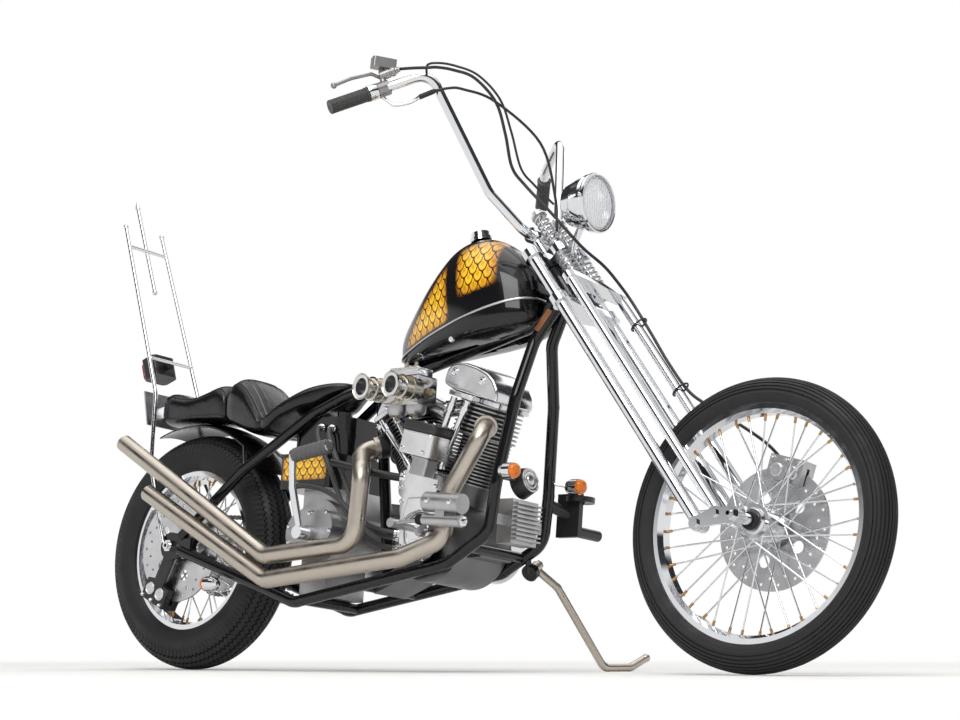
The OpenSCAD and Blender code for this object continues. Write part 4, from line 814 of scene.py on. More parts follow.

# %% [markdown]
# The tank is a pressed shell with a seam low on its sides and a tunnel that straddles the backbone. The
# solid part has the same stations, but more of them in between let reflections run smoothly over the
# shell. The seam is a closed tube round it. Its satin chrome is a painted highlight of the light along the
# edge of the black-painted flange.

# %% Tank
TANK_TAIL = Vector((0.715, 0, 0.805))
TANK_TILT = math.radians(15.5)
TANK_HALF_W = 0.110
TANK_CROWN = 0.227
TANK_CREASE = math.radians(50)
TUNNEL_HALF = 0.032
TUNNEL_FROM = 0.020
TUNNEL_SHARE = 0.8
TANK_SIDES = 96
TANK_STEPS = 6
SEAM_D = 0.006
SEAM_OUT = 0.0015
# Powers that make a section rounder or squarer; columns: across, up
SHELL_POWERS = (0.9, 0.85)
SKIRT_POWERS = (0.45, 0.5)
# Columns: along the tank, share of the half width, share of the crown, depth of the skirt; lengths in metres
TANK_STATIONS = [
    (-0.012, 0.12, 0.10, 0.008), (0.008, 0.30, 0.28, 0.018), (0.054, 0.52, 0.455, 0.028),
    (0.135, 0.78, 0.735, 0.038), (0.213, 0.94, 0.94, 0.048), (0.267, 1, 1, 0.056), (0.317, 1, 0.975, 0.062),
    (0.363, 0.95, 0.873, 0.066), (0.404, 0.84, 0.69, 0.066), (0.435, 0.66, 0.50, 0.060),
    (0.450, 0.46, 0.33, 0.050), (0.456, 0.22, 0.16, 0.040),
]


def tank_section(along, wide, crown, skirt):
    """Points across the tank at one station: round above the seam, squarer below, open for the backbone."""
    points = []
    for k in range(TANK_SIDES):
        turn = 2 * math.pi * k / TANK_SIDES
        rise = math.sin(turn)
        across, up = SHELL_POWERS if rise >= 0 else SKIRT_POWERS
        height = TANK_CROWN * crown if rise >= 0 else skirt
        y = TANK_HALF_W * wide * signed_power(math.cos(turn), across)
        z = height * signed_power(rise, up)
        if rise < 0 and abs(y) < TUNNEL_HALF and along > TUNNEL_FROM:
            z += TUNNEL_SHARE * skirt
        points.append(Vector((along, y, z)))
    return points


tank_frame = parked @ Matrix.Translation(TANK_TAIL) @ Matrix.Rotation(-TANK_TILT, 4, "Y")
tank_rows = smooth_rows(TANK_STATIONS, TANK_STEPS)
tank_points = [point for station in tank_rows for point in tank_section(*station)]
tank = add_piece("tank_shell", [tank_frame @ p for p in tank_points], tube_faces(len(tank_rows), TANK_SIDES),
                 tank_paint, "chassis")
tank_uv = tank.data.uv_layers.new(name="panel")
for loop in tank.data.loops:
    tank_uv.data[loop.index].uv = tank_points[loop.vertex_index].xz
tank.data.set_sharp_from_angle(angle=TANK_CREASE)
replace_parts(tank, "fuel_tank")

seam_sides = [Vector((along, TANK_HALF_W * wide + SEAM_OUT, 0)) for along, wide, _, _ in tank_rows]
seam_line = seam_sides + [Vector((p.x, -p.y, 0)) for p in reversed(seam_sides)]
# Satin chrome on the seam tube: painted highlight of the black flange's edge
add_tube("tank_seam_highlight", [tank_frame @ p for p in seam_line], SEAM_D, satin_chrome, "chassis",
         closed=True)
print("tank faces:", len(tank.data.polygons))

# %% [markdown]
# Three cables hang in an arch in front of the handlebar: the throttle cable, the brake hose, which runs
# down the left fork leg to the caliper, and a thin switch wire. A simulated rope would sag in the same
# way, but these are held at many places, so each follows the same points as its solid, smoothed.


# %% Cables
def smooth_path(points, steps):
    return [Vector(p) for p in smooth_rows(points, steps)]


PATH_STEPS = 8
# Points from the steering axis: ahead of it, to the left, along it
THROTTLE_ROUTE = [
    (-11, -338, 1418), (-3, -328, 1395), (30, -312, 1378), (70, -298, 1376), (118, -262, 1364),
    (140, -232, 1350), (169, -165, 1305), (173, -60, 1193), (108, 0, 1085), (66, 0, 1010), (40, 0, 962),
    (25, 0, 938),
]
BRAKE_ROUTE = [
    (62, -332, 1462), (92, -328, 1436), (121, -318, 1412), (137, -300, 1405), (158, -270, 1387),
    (180, -232, 1352), (178, -190, 1283), (143, -160, 1213), (100, -130, 1148), (94, -104, 1098),
    (102, -72, 1000), (106, -30, 896), (104, 40, 850), (94, 92, 800), (90, 108, 749), (88, 108, 660),
    (84.2, 108, 560), (88, 108, 466), (108, 108, 400), (150, 108, 300), (185, 104, 200), (198, 96, 110),
]
SWITCH_ROUTE = [
    (102.6, -299.9, 1414.6), (124, -316, 1420), (146, -304, 1410), (168, -272, 1392), (192, -232, 1350),
    (190, -186, 1283), (156, -150, 1213), (112, -112, 1140), (106, -80, 1098), (108, -40, 1040),
]
# Columns: name, solid part, route, diameter in metres
CABLES = [
    ("throttle_line", "throttle_cable", THROTTLE_ROUTE, 0.007),
    ("brake_line", "brake_hose", BRAKE_ROUTE, 0.008),
    ("switch_line", "switch_wire", SWITCH_ROUTE, 0.006),
]
for name, node, route, diameter in CABLES:
    line = [steered @ (p / 1000) for p in smooth_path(route, PATH_STEPS)]
    cable = add_tube(name, line, diameter, sheath, "fork")
    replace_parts(cable, node)

# %% [markdown]
# Bolts, nipples, collars and lenses are turned on a lathe in real life. A modifier could spin each
# profile, but there are hundreds of them, so one class turns a profile about an axis and gathers many
# turned copies into one mesh. A second helper presses a flat outline into a plate and rounds its edges
# with a bevel. A profile is a list of radius and height in millimetres.

# %% Turning helpers
TURNED_CREASE = math.radians(35)
PLATE_CREASE = math.radians(40)
BEVEL_FROM = math.radians(30)


def facing(place, direction):
    """A frame at a place, with its Z axis along a direction."""
    return Matrix.Translation(place) @ Vector(direction).to_track_quat("Z", "Y").to_matrix().to_4x4()


def shift(x, y, z):
    return Matrix.Translation(mm(x, y, z))


class Turnings:
    """Gathers turned and pressed solids, given in millimetres, into one mesh."""

    def __init__(self):
        self.points = []
        self.faces = []

    def turn(self, place, profile, sides=24, ring=False):
        """Turns a profile about a frame's Z axis; a ring keeps the hole through it."""
        self.faces += tube_faces(len(profile), sides, len(self.points), joined=ring)
        for r, z in profile:
            for k in range(sides):
                angle = 2 * math.pi * k / sides
                self.points.append(place @ mm(r * math.cos(angle), r * math.sin(angle), z))

    def press(self, place, outline, low, high):
        """Presses a flat outline from one height to another."""
        self.faces += tube_faces(2, len(outline), len(self.points))
        self.points += [place @ mm(x, y, z) for z in (low, high) for x, y in outline]

    def piece(self, name, material, body, slot):
        made = add_piece(name, self.points, self.faces, material, body)
        made.data.set_sharp_from_angle(angle=TURNED_CREASE)
        return made


def screw_head(d, h):
    """Domed screw head with a round recess."""
    return [(d / 2, -1), (d / 2, h * 0.7), (d * 0.44, h * 0.95), (d * 0.22, h), (d * 0.2, h * 0.5)]


def nut(d, h):
    """Nut with the end of its stud."""
    stud = [(d * 0.26, h), (d * 0.26, h * 1.5), (d * 0.2, h * 1.6)]
    return [(d / 2, -1), (d / 2, h * 0.85), (d * 0.45, h)] + stud


def add_plate(name, outline, low, high, place, material, round_edge):
    """A plate of the chassis, pressed from an outline, with rounded edges."""
    points = [place @ mm(x, y, z) for z in (low, high) for x, y in outline]
    plate = add_piece(name, points, tube_faces(2, len(outline)), material, "chassis")
    edge = plate.modifiers.new("round_edge", "BEVEL")
    edge.width = round_edge / 1000
    edge.segments = 3
    edge.limit_method = "ANGLE"
    edge.angle_limit = BEVEL_FROM
    edge.harden_normals = True
    plate.data.set_sharp_from_angle(angle=PLATE_CREASE)
    return plate


def rounded_outline(w, h, r, steps=6):
    """A rectangle with round corners, centred on the origin."""
    points = []
    for quarter, (sx, sy) in enumerate(((1, 1), (-1, 1), (-1, -1), (1, -1))):
        for k in range(steps + 1):
            a = math.pi / 2 * (quarter + k / steps)
            points.append((sx * (w / 2 - r) + r * math.cos(a), sy * (h / 2 - r) + r * math.sin(a)))
    return points


print("turning helpers ready")

# %% [markdown]
# The headlamp's glass is fluted, to spread its beam, and sits in a chrome rim with one screw. The flutes
# could be modelled, but the glass is small, so a wave texture bumps them. The small lamps have amber
# lenses in chrome bullets, and the tail lamp is a black wedge with a red window.

# %% Lamps
LAMP_AT = (191, 0, 980)
HEADLAMP_RIM = [(68.6, -4), (74.6, -4), (76.2, 1), (75.6, 5), (72.4, 8), (69.6, 7), (68.6, 3)]
RIM_SCREW_AT = (0, -76.5, 2)
RIM_SCREW = [(4, -1), (4, 8), (2.6, 9)]
BULLET_LENS = [(18.6, 18.3), (19.2, 20), (18.4, 26), (15, 31), (9, 34.5), (3, 36), (0.5, 36.2)]
# Small lamps of one side; columns: lens place upright, way that it faces
BULLETS = [((1178, -132, 476), (1, 0, 0)), ((196, -142, 214), (-1, 0, 0))]
TAIL_LAMP_AT = (-232, 0, 820)
TAIL_LAMP_TILT = math.radians(-20)
TAIL_WINDOW_AT = (-28, 0, 31)
# Width, height and corner
TAIL_WINDOW = (50, 70, 8)
LENS_GRAIN = (500.0, 180.0, 0.3, 0.001)

lamp_glass = finish_material("lamp_glass", (0.93, 0.95, 0.97), shine=(0.03, 0.08), IOR=1.45,
                             Transmission_Weight=0.12)
glass_tree = lamp_glass.node_tree
flutes = add_node(glass_tree, "ShaderNodeTexWave", {
    "Vector": object_place(glass_tree), "Scale": 36.0, "Distortion": 0.4,
}, bands_direction="Y")
fluted = bump(glass_tree, flutes.outputs["Fac"], 0.5, 0.003)
glass_tree.links.new(fluted, shader_of(lamp_glass).inputs["Normal"])
amber_lens = finish_material("amber_lens", (0.95, 0.26, 0.02), shine=(0.06, 0.14), grain_bump=LENS_GRAIN,
                             Transmission_Weight=0.35)
red_lens = finish_material("red_lens", (0.55, 0.01, 0.01), shine=(0.06, 0.14), grain_bump=LENS_GRAIN,
                           Transmission_Weight=0.3)
dress(parts["headlight_lens"], lamp_glass)

lamp_frame = steered @ shift(*LAMP_AT) @ Matrix.Rotation(RAKE, 4, "Y") @ Matrix.Rotation(math.pi / 2, 4, "Y")
rim = Turnings()
rim.turn(lamp_frame, HEADLAMP_RIM, sides=96, ring=True)
rim.turn(lamp_frame @ facing(mm(*RIM_SCREW_AT), (0, -1, 0)), RIM_SCREW)
rim.piece("headlamp_rim", chrome, "fork", "bright_chrome")

lenses = Turnings()
for (x, y, z), way in BULLETS:
    for side in (1, -1):
        lenses.turn(facing(parked @ mm(x, side * y, z), parked_turn @ Vector(way)), BULLET_LENS, sides=36)
lenses.piece("amber_lenses", amber_lens, "chassis", "lamp_glass")

tail_frame = parked @ shift(*TAIL_LAMP_AT) @ Matrix.Rotation(TAIL_LAMP_TILT, 4, "Y")
tail_back = tail_frame @ shift(*TAIL_WINDOW_AT) @ Matrix.Rotation(-math.pi / 2, 4, "Y")
add_plate("tail_lens", rounded_outline(*TAIL_WINDOW), 0.2, 5, tail_back, red_lens, 2.5)
print("lamps done")

# %% [markdown]
# The hand grips are moulded rubber with rings round them and a flange at the inner end, and the pedal of
# the kick lever is a sleeve with wider ribs. Both are round, so they are turned, and a small function
# writes the ribs into the profile.

# %% Grips and pedal rubber
GRIP_R = 18
GRIP_FROM = 26
GRIP_TO = 132
GRIP_RIBS = 22
BAR_BEND = mm(-10, -363, 1438)
BAR_END = mm(-103, -454, 1432)
PEDAL_FROM = mm(522, -206, 532)
PEDAL_TO = mm(648, -206, 552)
# Places along a rib, as shares of its length, and whether the sleeve is full there
RIB_SHAPE = ((0.12, 0), (0.3, 1), (0.7, 1), (0.88, 0))
GRIP_GRAIN = (1200.0, 200.0, 0.2, 0.0005)

grip_rubber = finish_material("grip_rubber", (0.055, 0.054, 0.052), shine=(0.4, 0.6), grain_bump=GRIP_GRAIN)
worn_rubber = finish_material("worn_rubber", (0.10, 0.098, 0.095), shine=(0.45, 0.7), grain_bump=GRIP_GRAIN)


def ribbed_sleeve(r, low, high, ribs, depth):
    """Profile of a sleeve with round ribs."""
    profile = [(r - depth, low)]
    for i in range(ribs):
        for share, full in RIB_SHAPE:
            profile.append((r - depth * (1 - full), low + (high - low) * (i + share) / ribs))
    return profile + [(r - depth, high)]


grip_flange = [(GRIP_R - 1, GRIP_FROM), (GRIP_R + 1, GRIP_FROM + 1), (GRIP_R + 1, GRIP_FROM + 5)]
grip_end = [(GRIP_R + 0.5, GRIP_TO - 3), (GRIP_R - 1, GRIP_TO), (4, GRIP_TO), (3, GRIP_TO - 1)]
grip_ribs = ribbed_sleeve(GRIP_R, GRIP_FROM + 6, GRIP_TO - 4, GRIP_RIBS, depth=1.4)
grip_profile = grip_flange + grip_ribs + grip_end
grips = Turnings()
for side in (1, -1):
    other_side = Matrix.Diagonal((1, side, 1))
    along = steered_turn @ (other_side @ (BAR_END - BAR_BEND))
    grips.turn(facing(steered @ (other_side @ BAR_BEND), along), grip_profile, sides=40)
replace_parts(grips.piece("grip_rubbers", grip_rubber, "fork", "grip_rubber"), "hand_grips")

pedal_ribs = ribbed_sleeve(r=19, low=5, high=124, ribs=7, depth=2.0)
pedal_profile = [(16.2, 4)] + pedal_ribs + [(17, 125), (12, 128.2), (4, 128.4)]
pedal = Turnings()
pedal.turn(facing(parked @ PEDAL_FROM, parked_turn @ (PEDAL_TO - PEDAL_FROM)), pedal_profile, sides=40)
pedal.piece("pedal_rubber", worn_rubber, "chassis", "grip_rubber")
print("grips done")

# %% [markdown]
# The barrels are painted black, and the rims of their fins are tinted a metallic grey. This is partly the
# machined edges of the fins and partly a painted highlight of the light that those edges catch. The rims
# could be separate rings, but the shader can find a rim by its distance from the cylinder's own axis,
# and the bright line then stays as sharp as the fin.

# %% Fin rims: machined edges and painted highlight
CRANK = (905, 0, 330)
FRONT_LEAN = math.radians(17)
REAR_LEAN = math.radians(-28)
FIN_RADII = (0.075, 0.083)
RIM_REACH = 0.0012
RIM_EDGE_AND_HIGHLIGHT_GREY = (0.40, 0.40, 0.40)

fin_tree = barrel_black.node_tree
at_crank = parked @ shift(*CRANK)
from_crank = add_node(fin_tree, "ShaderNodeVectorMath", {
    0: object_place(fin_tree), 1: at_crank.translation,
}, operation="SUBTRACT").outputs[0]
rim_edges_and_highlights = 0.0
for lean in (FRONT_LEAN, REAR_LEAN):
    axis = parked_turn @ Vector((math.sin(lean), 0, math.cos(lean)))
    across = add_node(fin_tree, "ShaderNodeVectorMath", {0: from_crank, 1: axis}, operation="CROSS_PRODUCT")
    radius = add_node(fin_tree, "ShaderNodeVectorMath", {0: across.outputs[0]}, operation="LENGTH")
    for fin_r in FIN_RADII:
        on_rim = maths(fin_tree, "COMPARE", radius.outputs["Value"], fin_r, RIM_REACH)
        rim_edges_and_highlights = maths(fin_tree, "MAXIMUM", rim_edges_and_highlights, on_rim)
# Metallic grey on every fin rim: partly machined edge, partly painted highlight
tint(barrel_black, rim_edges_and_highlights, RIM_EDGE_AND_HIGHLIGHT_GREY, 1.0)
print("fin rims done")

# %% [markdown]
# A rocker cover is an arched casting on a flange, with two recessed nuts in its face, and a smaller
# flange beside it takes the pushrod tubes. An arch has one outline all the way through, so it is pressed
# from that outline and its edges are bevelled. The front cover is the longer one.

# %% Rocker covers
ROCKER_LOW = 352.8
FLANGE_TOP = 13.5
# Flanges; columns: length, width, corner
HEAD_FLANGE = (152, 134, 20)
TUBE_FLANGE = (84, 40, 12)
TUBE_FLANGE_TOP = 13
TUBE_FLANGE_Y = -88
# Outlines as ahead of the cylinder's axis and up from its head
FRONT_ARCH = [
    (-70, 13), (80, 13), (80, 28), (70, 48), (52, 66), (26, 79), (-12, 86), (-52, 87), (-80, 82), (-98, 72),
    (-106, 58), (-108, 34), (-104, 22),
]
REAR_ARCH = [
    (70, 13), (70, 40), (66, 56), (56, 68), (40, 74), (16, 76), (-10, 74), (-34, 66), (-52, 53), (-64, 36),
    (-72, 16), (-72, 13),
]
# Columns: name, lean, arch, its left and right face, nuts in the right face, place of the pushrod flange
HEADS = [
    ("front", FRONT_LEAN, FRONT_ARCH, (-58, 88), [(-78, 58), (18, 56)], -24),
    ("rear", REAR_LEAN, REAR_ARCH, (-58, 58), [(40, 44), (-14, 44)], 1),
]
FACE_NUT = [(10, -0.5), (10, 2.2), (8.6, 2.6), (7.4, 1.4), (5.2, 1.4), (5.2, 4), (3, 4.4)]
FLANGE_BOLTS = [(-66, -58), (66, -58), (-66, 58), (66, 58)]
RIGHT = Vector((0, -1, 0))

tipped = Matrix.Rotation(math.pi / 2, 4, "X")
nuts = Turnings()
covers = {}
for name, lean, arch, (left, right), face_nuts, tubes_x in HEADS:
    head = at_crank @ Matrix.Rotation(lean, 4, "Y") @ shift(0, 0, ROCKER_LOW)
    covers[name] = add_plate(f"rocker_cover_{name}", arch, left, right, head @ tipped, polished_alloy,
                             7)
    add_plate(f"rocker_flange_{name}", rounded_outline(*HEAD_FLANGE), 0, FLANGE_TOP, head, polished_alloy,
              2)
    tubes = head @ shift(tubes_x, TUBE_FLANGE_Y, 0)
    add_plate(f"pushrod_flange_{name}", rounded_outline(*TUBE_FLANGE), 0, TUBE_FLANGE_TOP, tubes,
              polished_alloy, 2)
    for x, z in face_nuts:
        nuts.turn(facing(head @ mm(x, 0.5 - right, z), head.to_3x3() @ RIGHT), FACE_NUT)
    for x, y in FLANGE_BOLTS:
        nuts.turn(head @ shift(x, y, FLANGE_TOP), nut(13, 8), sides=6)
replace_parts(covers["front"], "rocker_boxes")
nuts.piece("rocker_nuts", chrome, "chassis", "bright_chrome")
print("rocker covers:", list(covers))

# %% [markdown]
# Domed screws hold the cam cover, the primary cover and the gearbox's cover, and a ringed cap closes the
# cam cover. The screws are many alike, so their places are short tables, with round rows worked out.

# %% Cover screws and points cap
CAM_SCREWS = [
    (62, -20), (46, -48), (10, -64), (-30, -58), (-58, -30), (-66, 30), (-68, 84), (-74, 120), (-70, 154),
    (-18, 156), (36, 154), (42, 118), (56, 60),
]
POINTS_CAP = [(41, -0.5), (41, 2), (38, 4), (30, 4.6), (29, 3.4), (18, 3.4), (17, 5), (10, 5.6), (2, 5.8)]
POINTS_CAP_Y = -140


def round_row(x, z, r, angles):
    """Places on a circle, as ahead and up."""
    return [(x + r * math.cos(a), z + r * math.sin(a)) for a in angles]


primary_screws = round_row(0, 0, 80, (-1.2, -0.5, 0.2, 0.9, 1.6)) + [(-190, 106), (-190, -86)]
primary_screws += round_row(-385, 20, 104, (1.4, 2.1, 2.8, 3.5, 4.2, 4.9))
gearbox_screws = round_row(-395, 12, 54, (1.2, 2.0, 2.8, 3.6, 4.4, 5.2))
gearbox_screws += [(-316, 64), (-300, 16), (-320, -8)]
# Columns: side of the engine, distance of the face, head size, places as ahead and up from the crankshaft
SCREW_ROWS = [(-1, 126.3, 11, CAM_SCREWS), (1, 182, 12, primary_screws), (-1, 135, 11, gearbox_screws)]
screws = Turnings()
for side, face, size, places in SCREW_ROWS:
    way = parked_turn @ Vector((0, side, 0))
    for ahead, up in places:
        screws.turn(facing(at_crank @ mm(ahead, side * face, up), way), screw_head(size, 5), sides=18)
screws.piece("cover_screws", chrome, "chassis", "bright_chrome")

parked_right = parked_turn @ RIGHT
points_cap = Turnings()
points_cap.turn(facing(at_crank @ mm(0, POINTS_CAP_Y, 0), parked_right), POINTS_CAP, sides=64)
points_cap.piece("points_cap", polished_alloy, "chassis", "polished_aluminium")
print("engine screws:", sum(len(places) for *_, places in SCREW_ROWS))

# %% [markdown]
# The magneto makes the sparks. It is a polished block under a dark cap, with a bright band at the joint
# and a cast foot on the cam cover. All four have the same rounded outline at other sizes, so each is one
# pressed plate, and screws sit on the cap and in the face.

# %% Magneto
MAGNETO_AT = (927, -164, 516)
MAGNETO_LEAN = math.radians(13)
CAP_TOP = 85
CAP_SCREWS = [(x, y) for x in (-42, 42) for y in (-30, 30)]
BLOCK_SCREWS = [(-36, -39, 12), (36, -39, 12)]

dark_cap = finish_material("magneto_cap", (0.05, 0.05, 0.052), 0.6, shine=(0.22, 0.4),
                           grain_bump=(900.0, 200.0, 0.15, 0.0005))
magneto = parked @ shift(*MAGNETO_AT) @ Matrix.Rotation(MAGNETO_LEAN, 4, "Y")
# Columns: name, size and corner of its outline, shift to the left, low, top, finish, slot, round edge
MAGNETO_PLATES = [
    ("magneto_block", (104, 78, 12), 0, 0, 60, polished_alloy, "cast_aluminium", 3),
    ("magneto_cap", (110, 84, 16), 0, 60.2, CAP_TOP, dark_cap, "cast_aluminium", 5),
    ("magneto_band", (106, 80, 13), 0, 52, 55, chrome, "bright_chrome", 0.8),
    ("magneto_base", (52, 43, 6), 14, -46, 0, cast_alloy, "cast_aluminium", 3),
]
magneto_plates = {}
for name, size, left, low, top, finish, slot, edge in MAGNETO_PLATES:
    place = magneto @ shift(0, left, 0)
    magneto_plates[name] = add_plate(name, rounded_outline(*size), low, top, place, finish, edge)
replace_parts(magneto_plates["magneto_block"], "magneto")

magneto_screws = Turnings()
for x, y in CAP_SCREWS:
    magneto_screws.turn(magneto @ shift(x, y, CAP_TOP), screw_head(10, 4), sides=18)
magneto_right = magneto.to_3x3() @ RIGHT
for place in BLOCK_SCREWS:
    magneto_screws.turn(facing(magneto @ mm(*place), magneto_right), screw_head(10, 4), sides=18)
magneto_screws.piece("magneto_screws", chrome, "chassis", "bright_chrome")
print("magneto:", list(magneto_plates))

# %% [markdown]
# The carburettor is the busiest casting. It has two bell mouths, each with a black disc deep in its throat
# as painted shade of the dark bore, a lid with screws and jets, a float bowl below each throat, and a shaft
# with its collars and stop on the front. Its round pieces are turned, and gathered by finish into a few
# meshes.

# %% Carburettor
CARB = (840, -130, 690)
BELL_X = 49.5
BELL_Y = -30
BELL_SPREAD = math.radians(-10)
BELL = [
    (29.3, 14), (28.6, 40), (26.6, 56), (26.4, 64), (28, 72), (31.5, 79), (33.6, 83), (33.8, 85.4),
    (32.2, 86.2), (29.4, 84), (26.6, 78), (23.6, 68), (22.2, 56), (21.6, 30), (21.4, 16),
]
BELL_BANDS = (22, 48)
BELL_BAND = [(29.6, 0), (31, 0.6), (31, 4.4), (29, 5)]
# A black disc deep in each bell mouth: painted shade of the bore behind it
THROAT_SHADE_DISC = [(22.6, 60), (22.6, 61)]
BOWL = [(10, 0), (20, 2), (25, 8), (26, 20), (26, 26), (28, 27), (28, 31)]
BOWL_SHARE = 0.62
BOWL_Y = -6
BOWL_FOOT = -62
BOWL_NUT_FOOT = -69
# Length, width and corner of two plates
LID = (104, 62, 12)
GASKET = (120, 72, 10)
LID_SEAT = 56
LID_SCREW_SHARE = 0.84
LID_SCREW_Y = 22
JET_X = 16
JET = [(9, -1), (9, 5), (7, 6), (7, 14), (4.5, 15), (4.5, 22), (3, 23)]
SHAFT = [
    (5, 0), (5, 8), (13, 9), (13, 12), (5, 13), (5, 22), (9, 22.5), (9, 27), (4, 28), (4, 34), (2.5, 35),
]
SHAFT_AT = (58, -10, -6)
SHAFT_STOP_AT = (58, -22, 18)
BODY_NUTS = [(x, -35, z) for z in (-24, 24) for x in (-54, 0, 54)]
SHAFT_STOP = [(7, 0), (7, 6), (5, 7), (5, 16), (7, 17), (7, 21), (2, 22)]

bell_plating = finish_material("bell_plating", (0.62, 0.58, 0.50), 1.0, shine=(0.16, 0.3))
dull_brass = finish_material("dull_brass", (0.46, 0.40, 0.30), 1.0, shine=(0.25, 0.4))
carb = parked @ shift(*CARB)
carb_front = parked_turn @ Vector((1, 0, 0))
bells = Turnings()
throat_shade_discs = Turnings()
bowls = Turnings()
fittings = Turnings()
for x in (-BELL_X, BELL_X):
    mouth = carb @ shift(x, BELL_Y, 0) @ Matrix.Rotation(BELL_SPREAD, 4, "Z") @ tipped
    bells.turn(mouth, BELL, sides=56, ring=True)
    throat_shade_discs.turn(mouth, THROAT_SHADE_DISC, sides=40)
    for z in BELL_BANDS:
        bells.turn(mouth @ shift(0, 0, z), BELL_BAND, sides=56)
    bowls.turn(carb @ shift(x * BOWL_SHARE, BOWL_Y, BOWL_FOOT), BOWL, sides=40)
    fittings.turn(carb @ shift(x * BOWL_SHARE, BOWL_Y, BOWL_NUT_FOOT), nut(15, 7), sides=6)
    for y in (-LID_SCREW_Y, LID_SCREW_Y):
        fittings.turn(carb @ shift(x * LID_SCREW_SHARE, y, LID_SEAT), screw_head(9, 4), sides=16)
for x in (-JET_X, JET_X):
    fittings.turn(carb @ shift(x, 0, LID_SEAT), JET, sides=28)
add_plate("carburettor_lid", rounded_outline(*LID), 55, 60, carb, polished_alloy,
          1.5)
add_plate("carburettor_gasket", rounded_outline(*GASKET), 36, 38.5, carb, dark_cap, 0.6)
fittings.turn(facing(carb @ mm(*SHAFT_AT), carb_front), SHAFT, sides=28)
fittings.turn(facing(carb @ mm(*SHAFT_STOP_AT), carb_front), SHAFT_STOP, sides=6)
for place in BODY_NUTS:
    fittings.turn(facing(carb @ mm(*place), parked_right), nut(11, 6), sides=6)
# The black throat discs are painted shade, not a part of the carburettor
throat_shade_discs.piece("bell_throat_shade", black_plastic, "chassis", "cable_black")
bells.piece("bell_mouths", bell_plating, "chassis", "polished_aluminium")
bowls.piece("float_bowls", cast_alloy, "chassis", "cast_aluminium")
fittings.piece("carburettor_fittings", dull_brass, "chassis", "cast_aluminium")
print("carburettor done")

# %% [markdown]
# The drive chain is made of real links: pairs of waisted plates, alternately outside and inside, on
# rollers and pins. Links could be strung along a curve by a modifier, but the loop runs straight between
# the two sprockets and round them, so a place along it is worked out from its distance alone.

# %% Drive chain
CHAIN_Y = 80
CHAIN_PITCH = 15.875
# Columns: middle of the sprocket as ahead of the rear axle and up, radius of the chain on it
CHAIN_REAR = (Vector((0, 322)), 107.5)
CHAIN_FRONT = (Vector((520, 350)), 53.5)
PLATE_END_R = 6.2
PLATE_WAIST = 4.0
PLATE_T = 1.7
OUTER_GAP = 5.0
INNER_GAP = 3.1
ROLLER = [(4.8, -3), (4.8, 3)]
PIN = [(2.4, -7), (2.4, 7)]


def on_circle(circle, angle):
    centre, r = circle
    return centre + r * Vector((math.cos(angle), math.sin(angle)))


def chain_loop():
    """Places at equal steps along the chain's middle line, as ahead of the rear axle and up."""
    span = CHAIN_FRONT[0] - CHAIN_REAR[0]
    tilt = math.atan2(span.y, span.x)
    r_step = CHAIN_REAR[1] - CHAIN_FRONT[1]
    side = math.pi / 2 - math.asin(r_step / span.length)
    straight = math.sqrt(span.length ** 2 - r_step ** 2)
    rear_arc = CHAIN_REAR[1] * (2 * math.pi - 2 * side)
    front_arc = CHAIN_FRONT[1] * 2 * side
    total = rear_arc + front_arc + 2 * straight
    links = 2 * round(total / CHAIN_PITCH / 2)
    low_run = (on_circle(CHAIN_REAR, tilt - side), on_circle(CHAIN_FRONT, tilt - side))
    high_run = (on_circle(CHAIN_FRONT, tilt + side), on_circle(CHAIN_REAR, tilt + side))
    places = []
    for k in range(links):
        d = total * k / links
        if d < rear_arc:
            places.append(on_circle(CHAIN_REAR, tilt + side + d / CHAIN_REAR[1]))
        elif d < rear_arc + straight:
            places.append(low_run[0].lerp(low_run[1], (d - rear_arc) / straight))
        elif d < rear_arc + straight + front_arc:
            places.append(on_circle(CHAIN_FRONT, tilt - side + (d - rear_arc - straight) / CHAIN_FRONT[1]))
        else:
            places.append(high_run[0].lerp(high_run[1], (d - rear_arc - straight - front_arc) / straight))
    return places


def plate_outline(length):
    """Figure of eight round two pins that lie a length apart on the X axis."""
    ends = [(length + x, z) for x, z in round_row(0, 0, PLATE_END_R, (-1.9, -1.2, -0.4, 0.4, 1.2, 1.9))]
    back = [(length - x, -z) for x, z in ends]
    return ends + [(length / 2, PLATE_WAIST)] + back + [(length / 2, -PLATE_WAIST)]


chain = Turnings()
places = chain_loop()
for k, start in enumerate(places):
    step = places[(k + 1) % len(places)] - start
    link_turn = Matrix.Rotation(-math.atan2(step.y, step.x), 4, "Y")
    link = parked @ shift(start.x, CHAIN_Y, start.y) @ link_turn @ tipped
    gap = OUTER_GAP if k % 2 else INNER_GAP
    outline = plate_outline(step.length)
    chain.press(link, outline, gap, gap + PLATE_T)
    chain.press(link, outline, -gap - PLATE_T, -gap)
    chain.turn(link, ROLLER, sides=12)
    chain.turn(link, PIN, sides=8)
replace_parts(chain.piece("chain_links", chain_steel, "chassis", "chain_steel"), "drive_chain")
print("chain links:", len(places))

# %% [markdown]
# Rubber hoses carry oil from the tank under the seat to the engine, a short fat one is the engine's
# breather, and a thin one brings fuel. They are held at their ends and stiff enough to keep their curve,
# so each is a smooth tube through listed points, with a metal collar at each fitting.

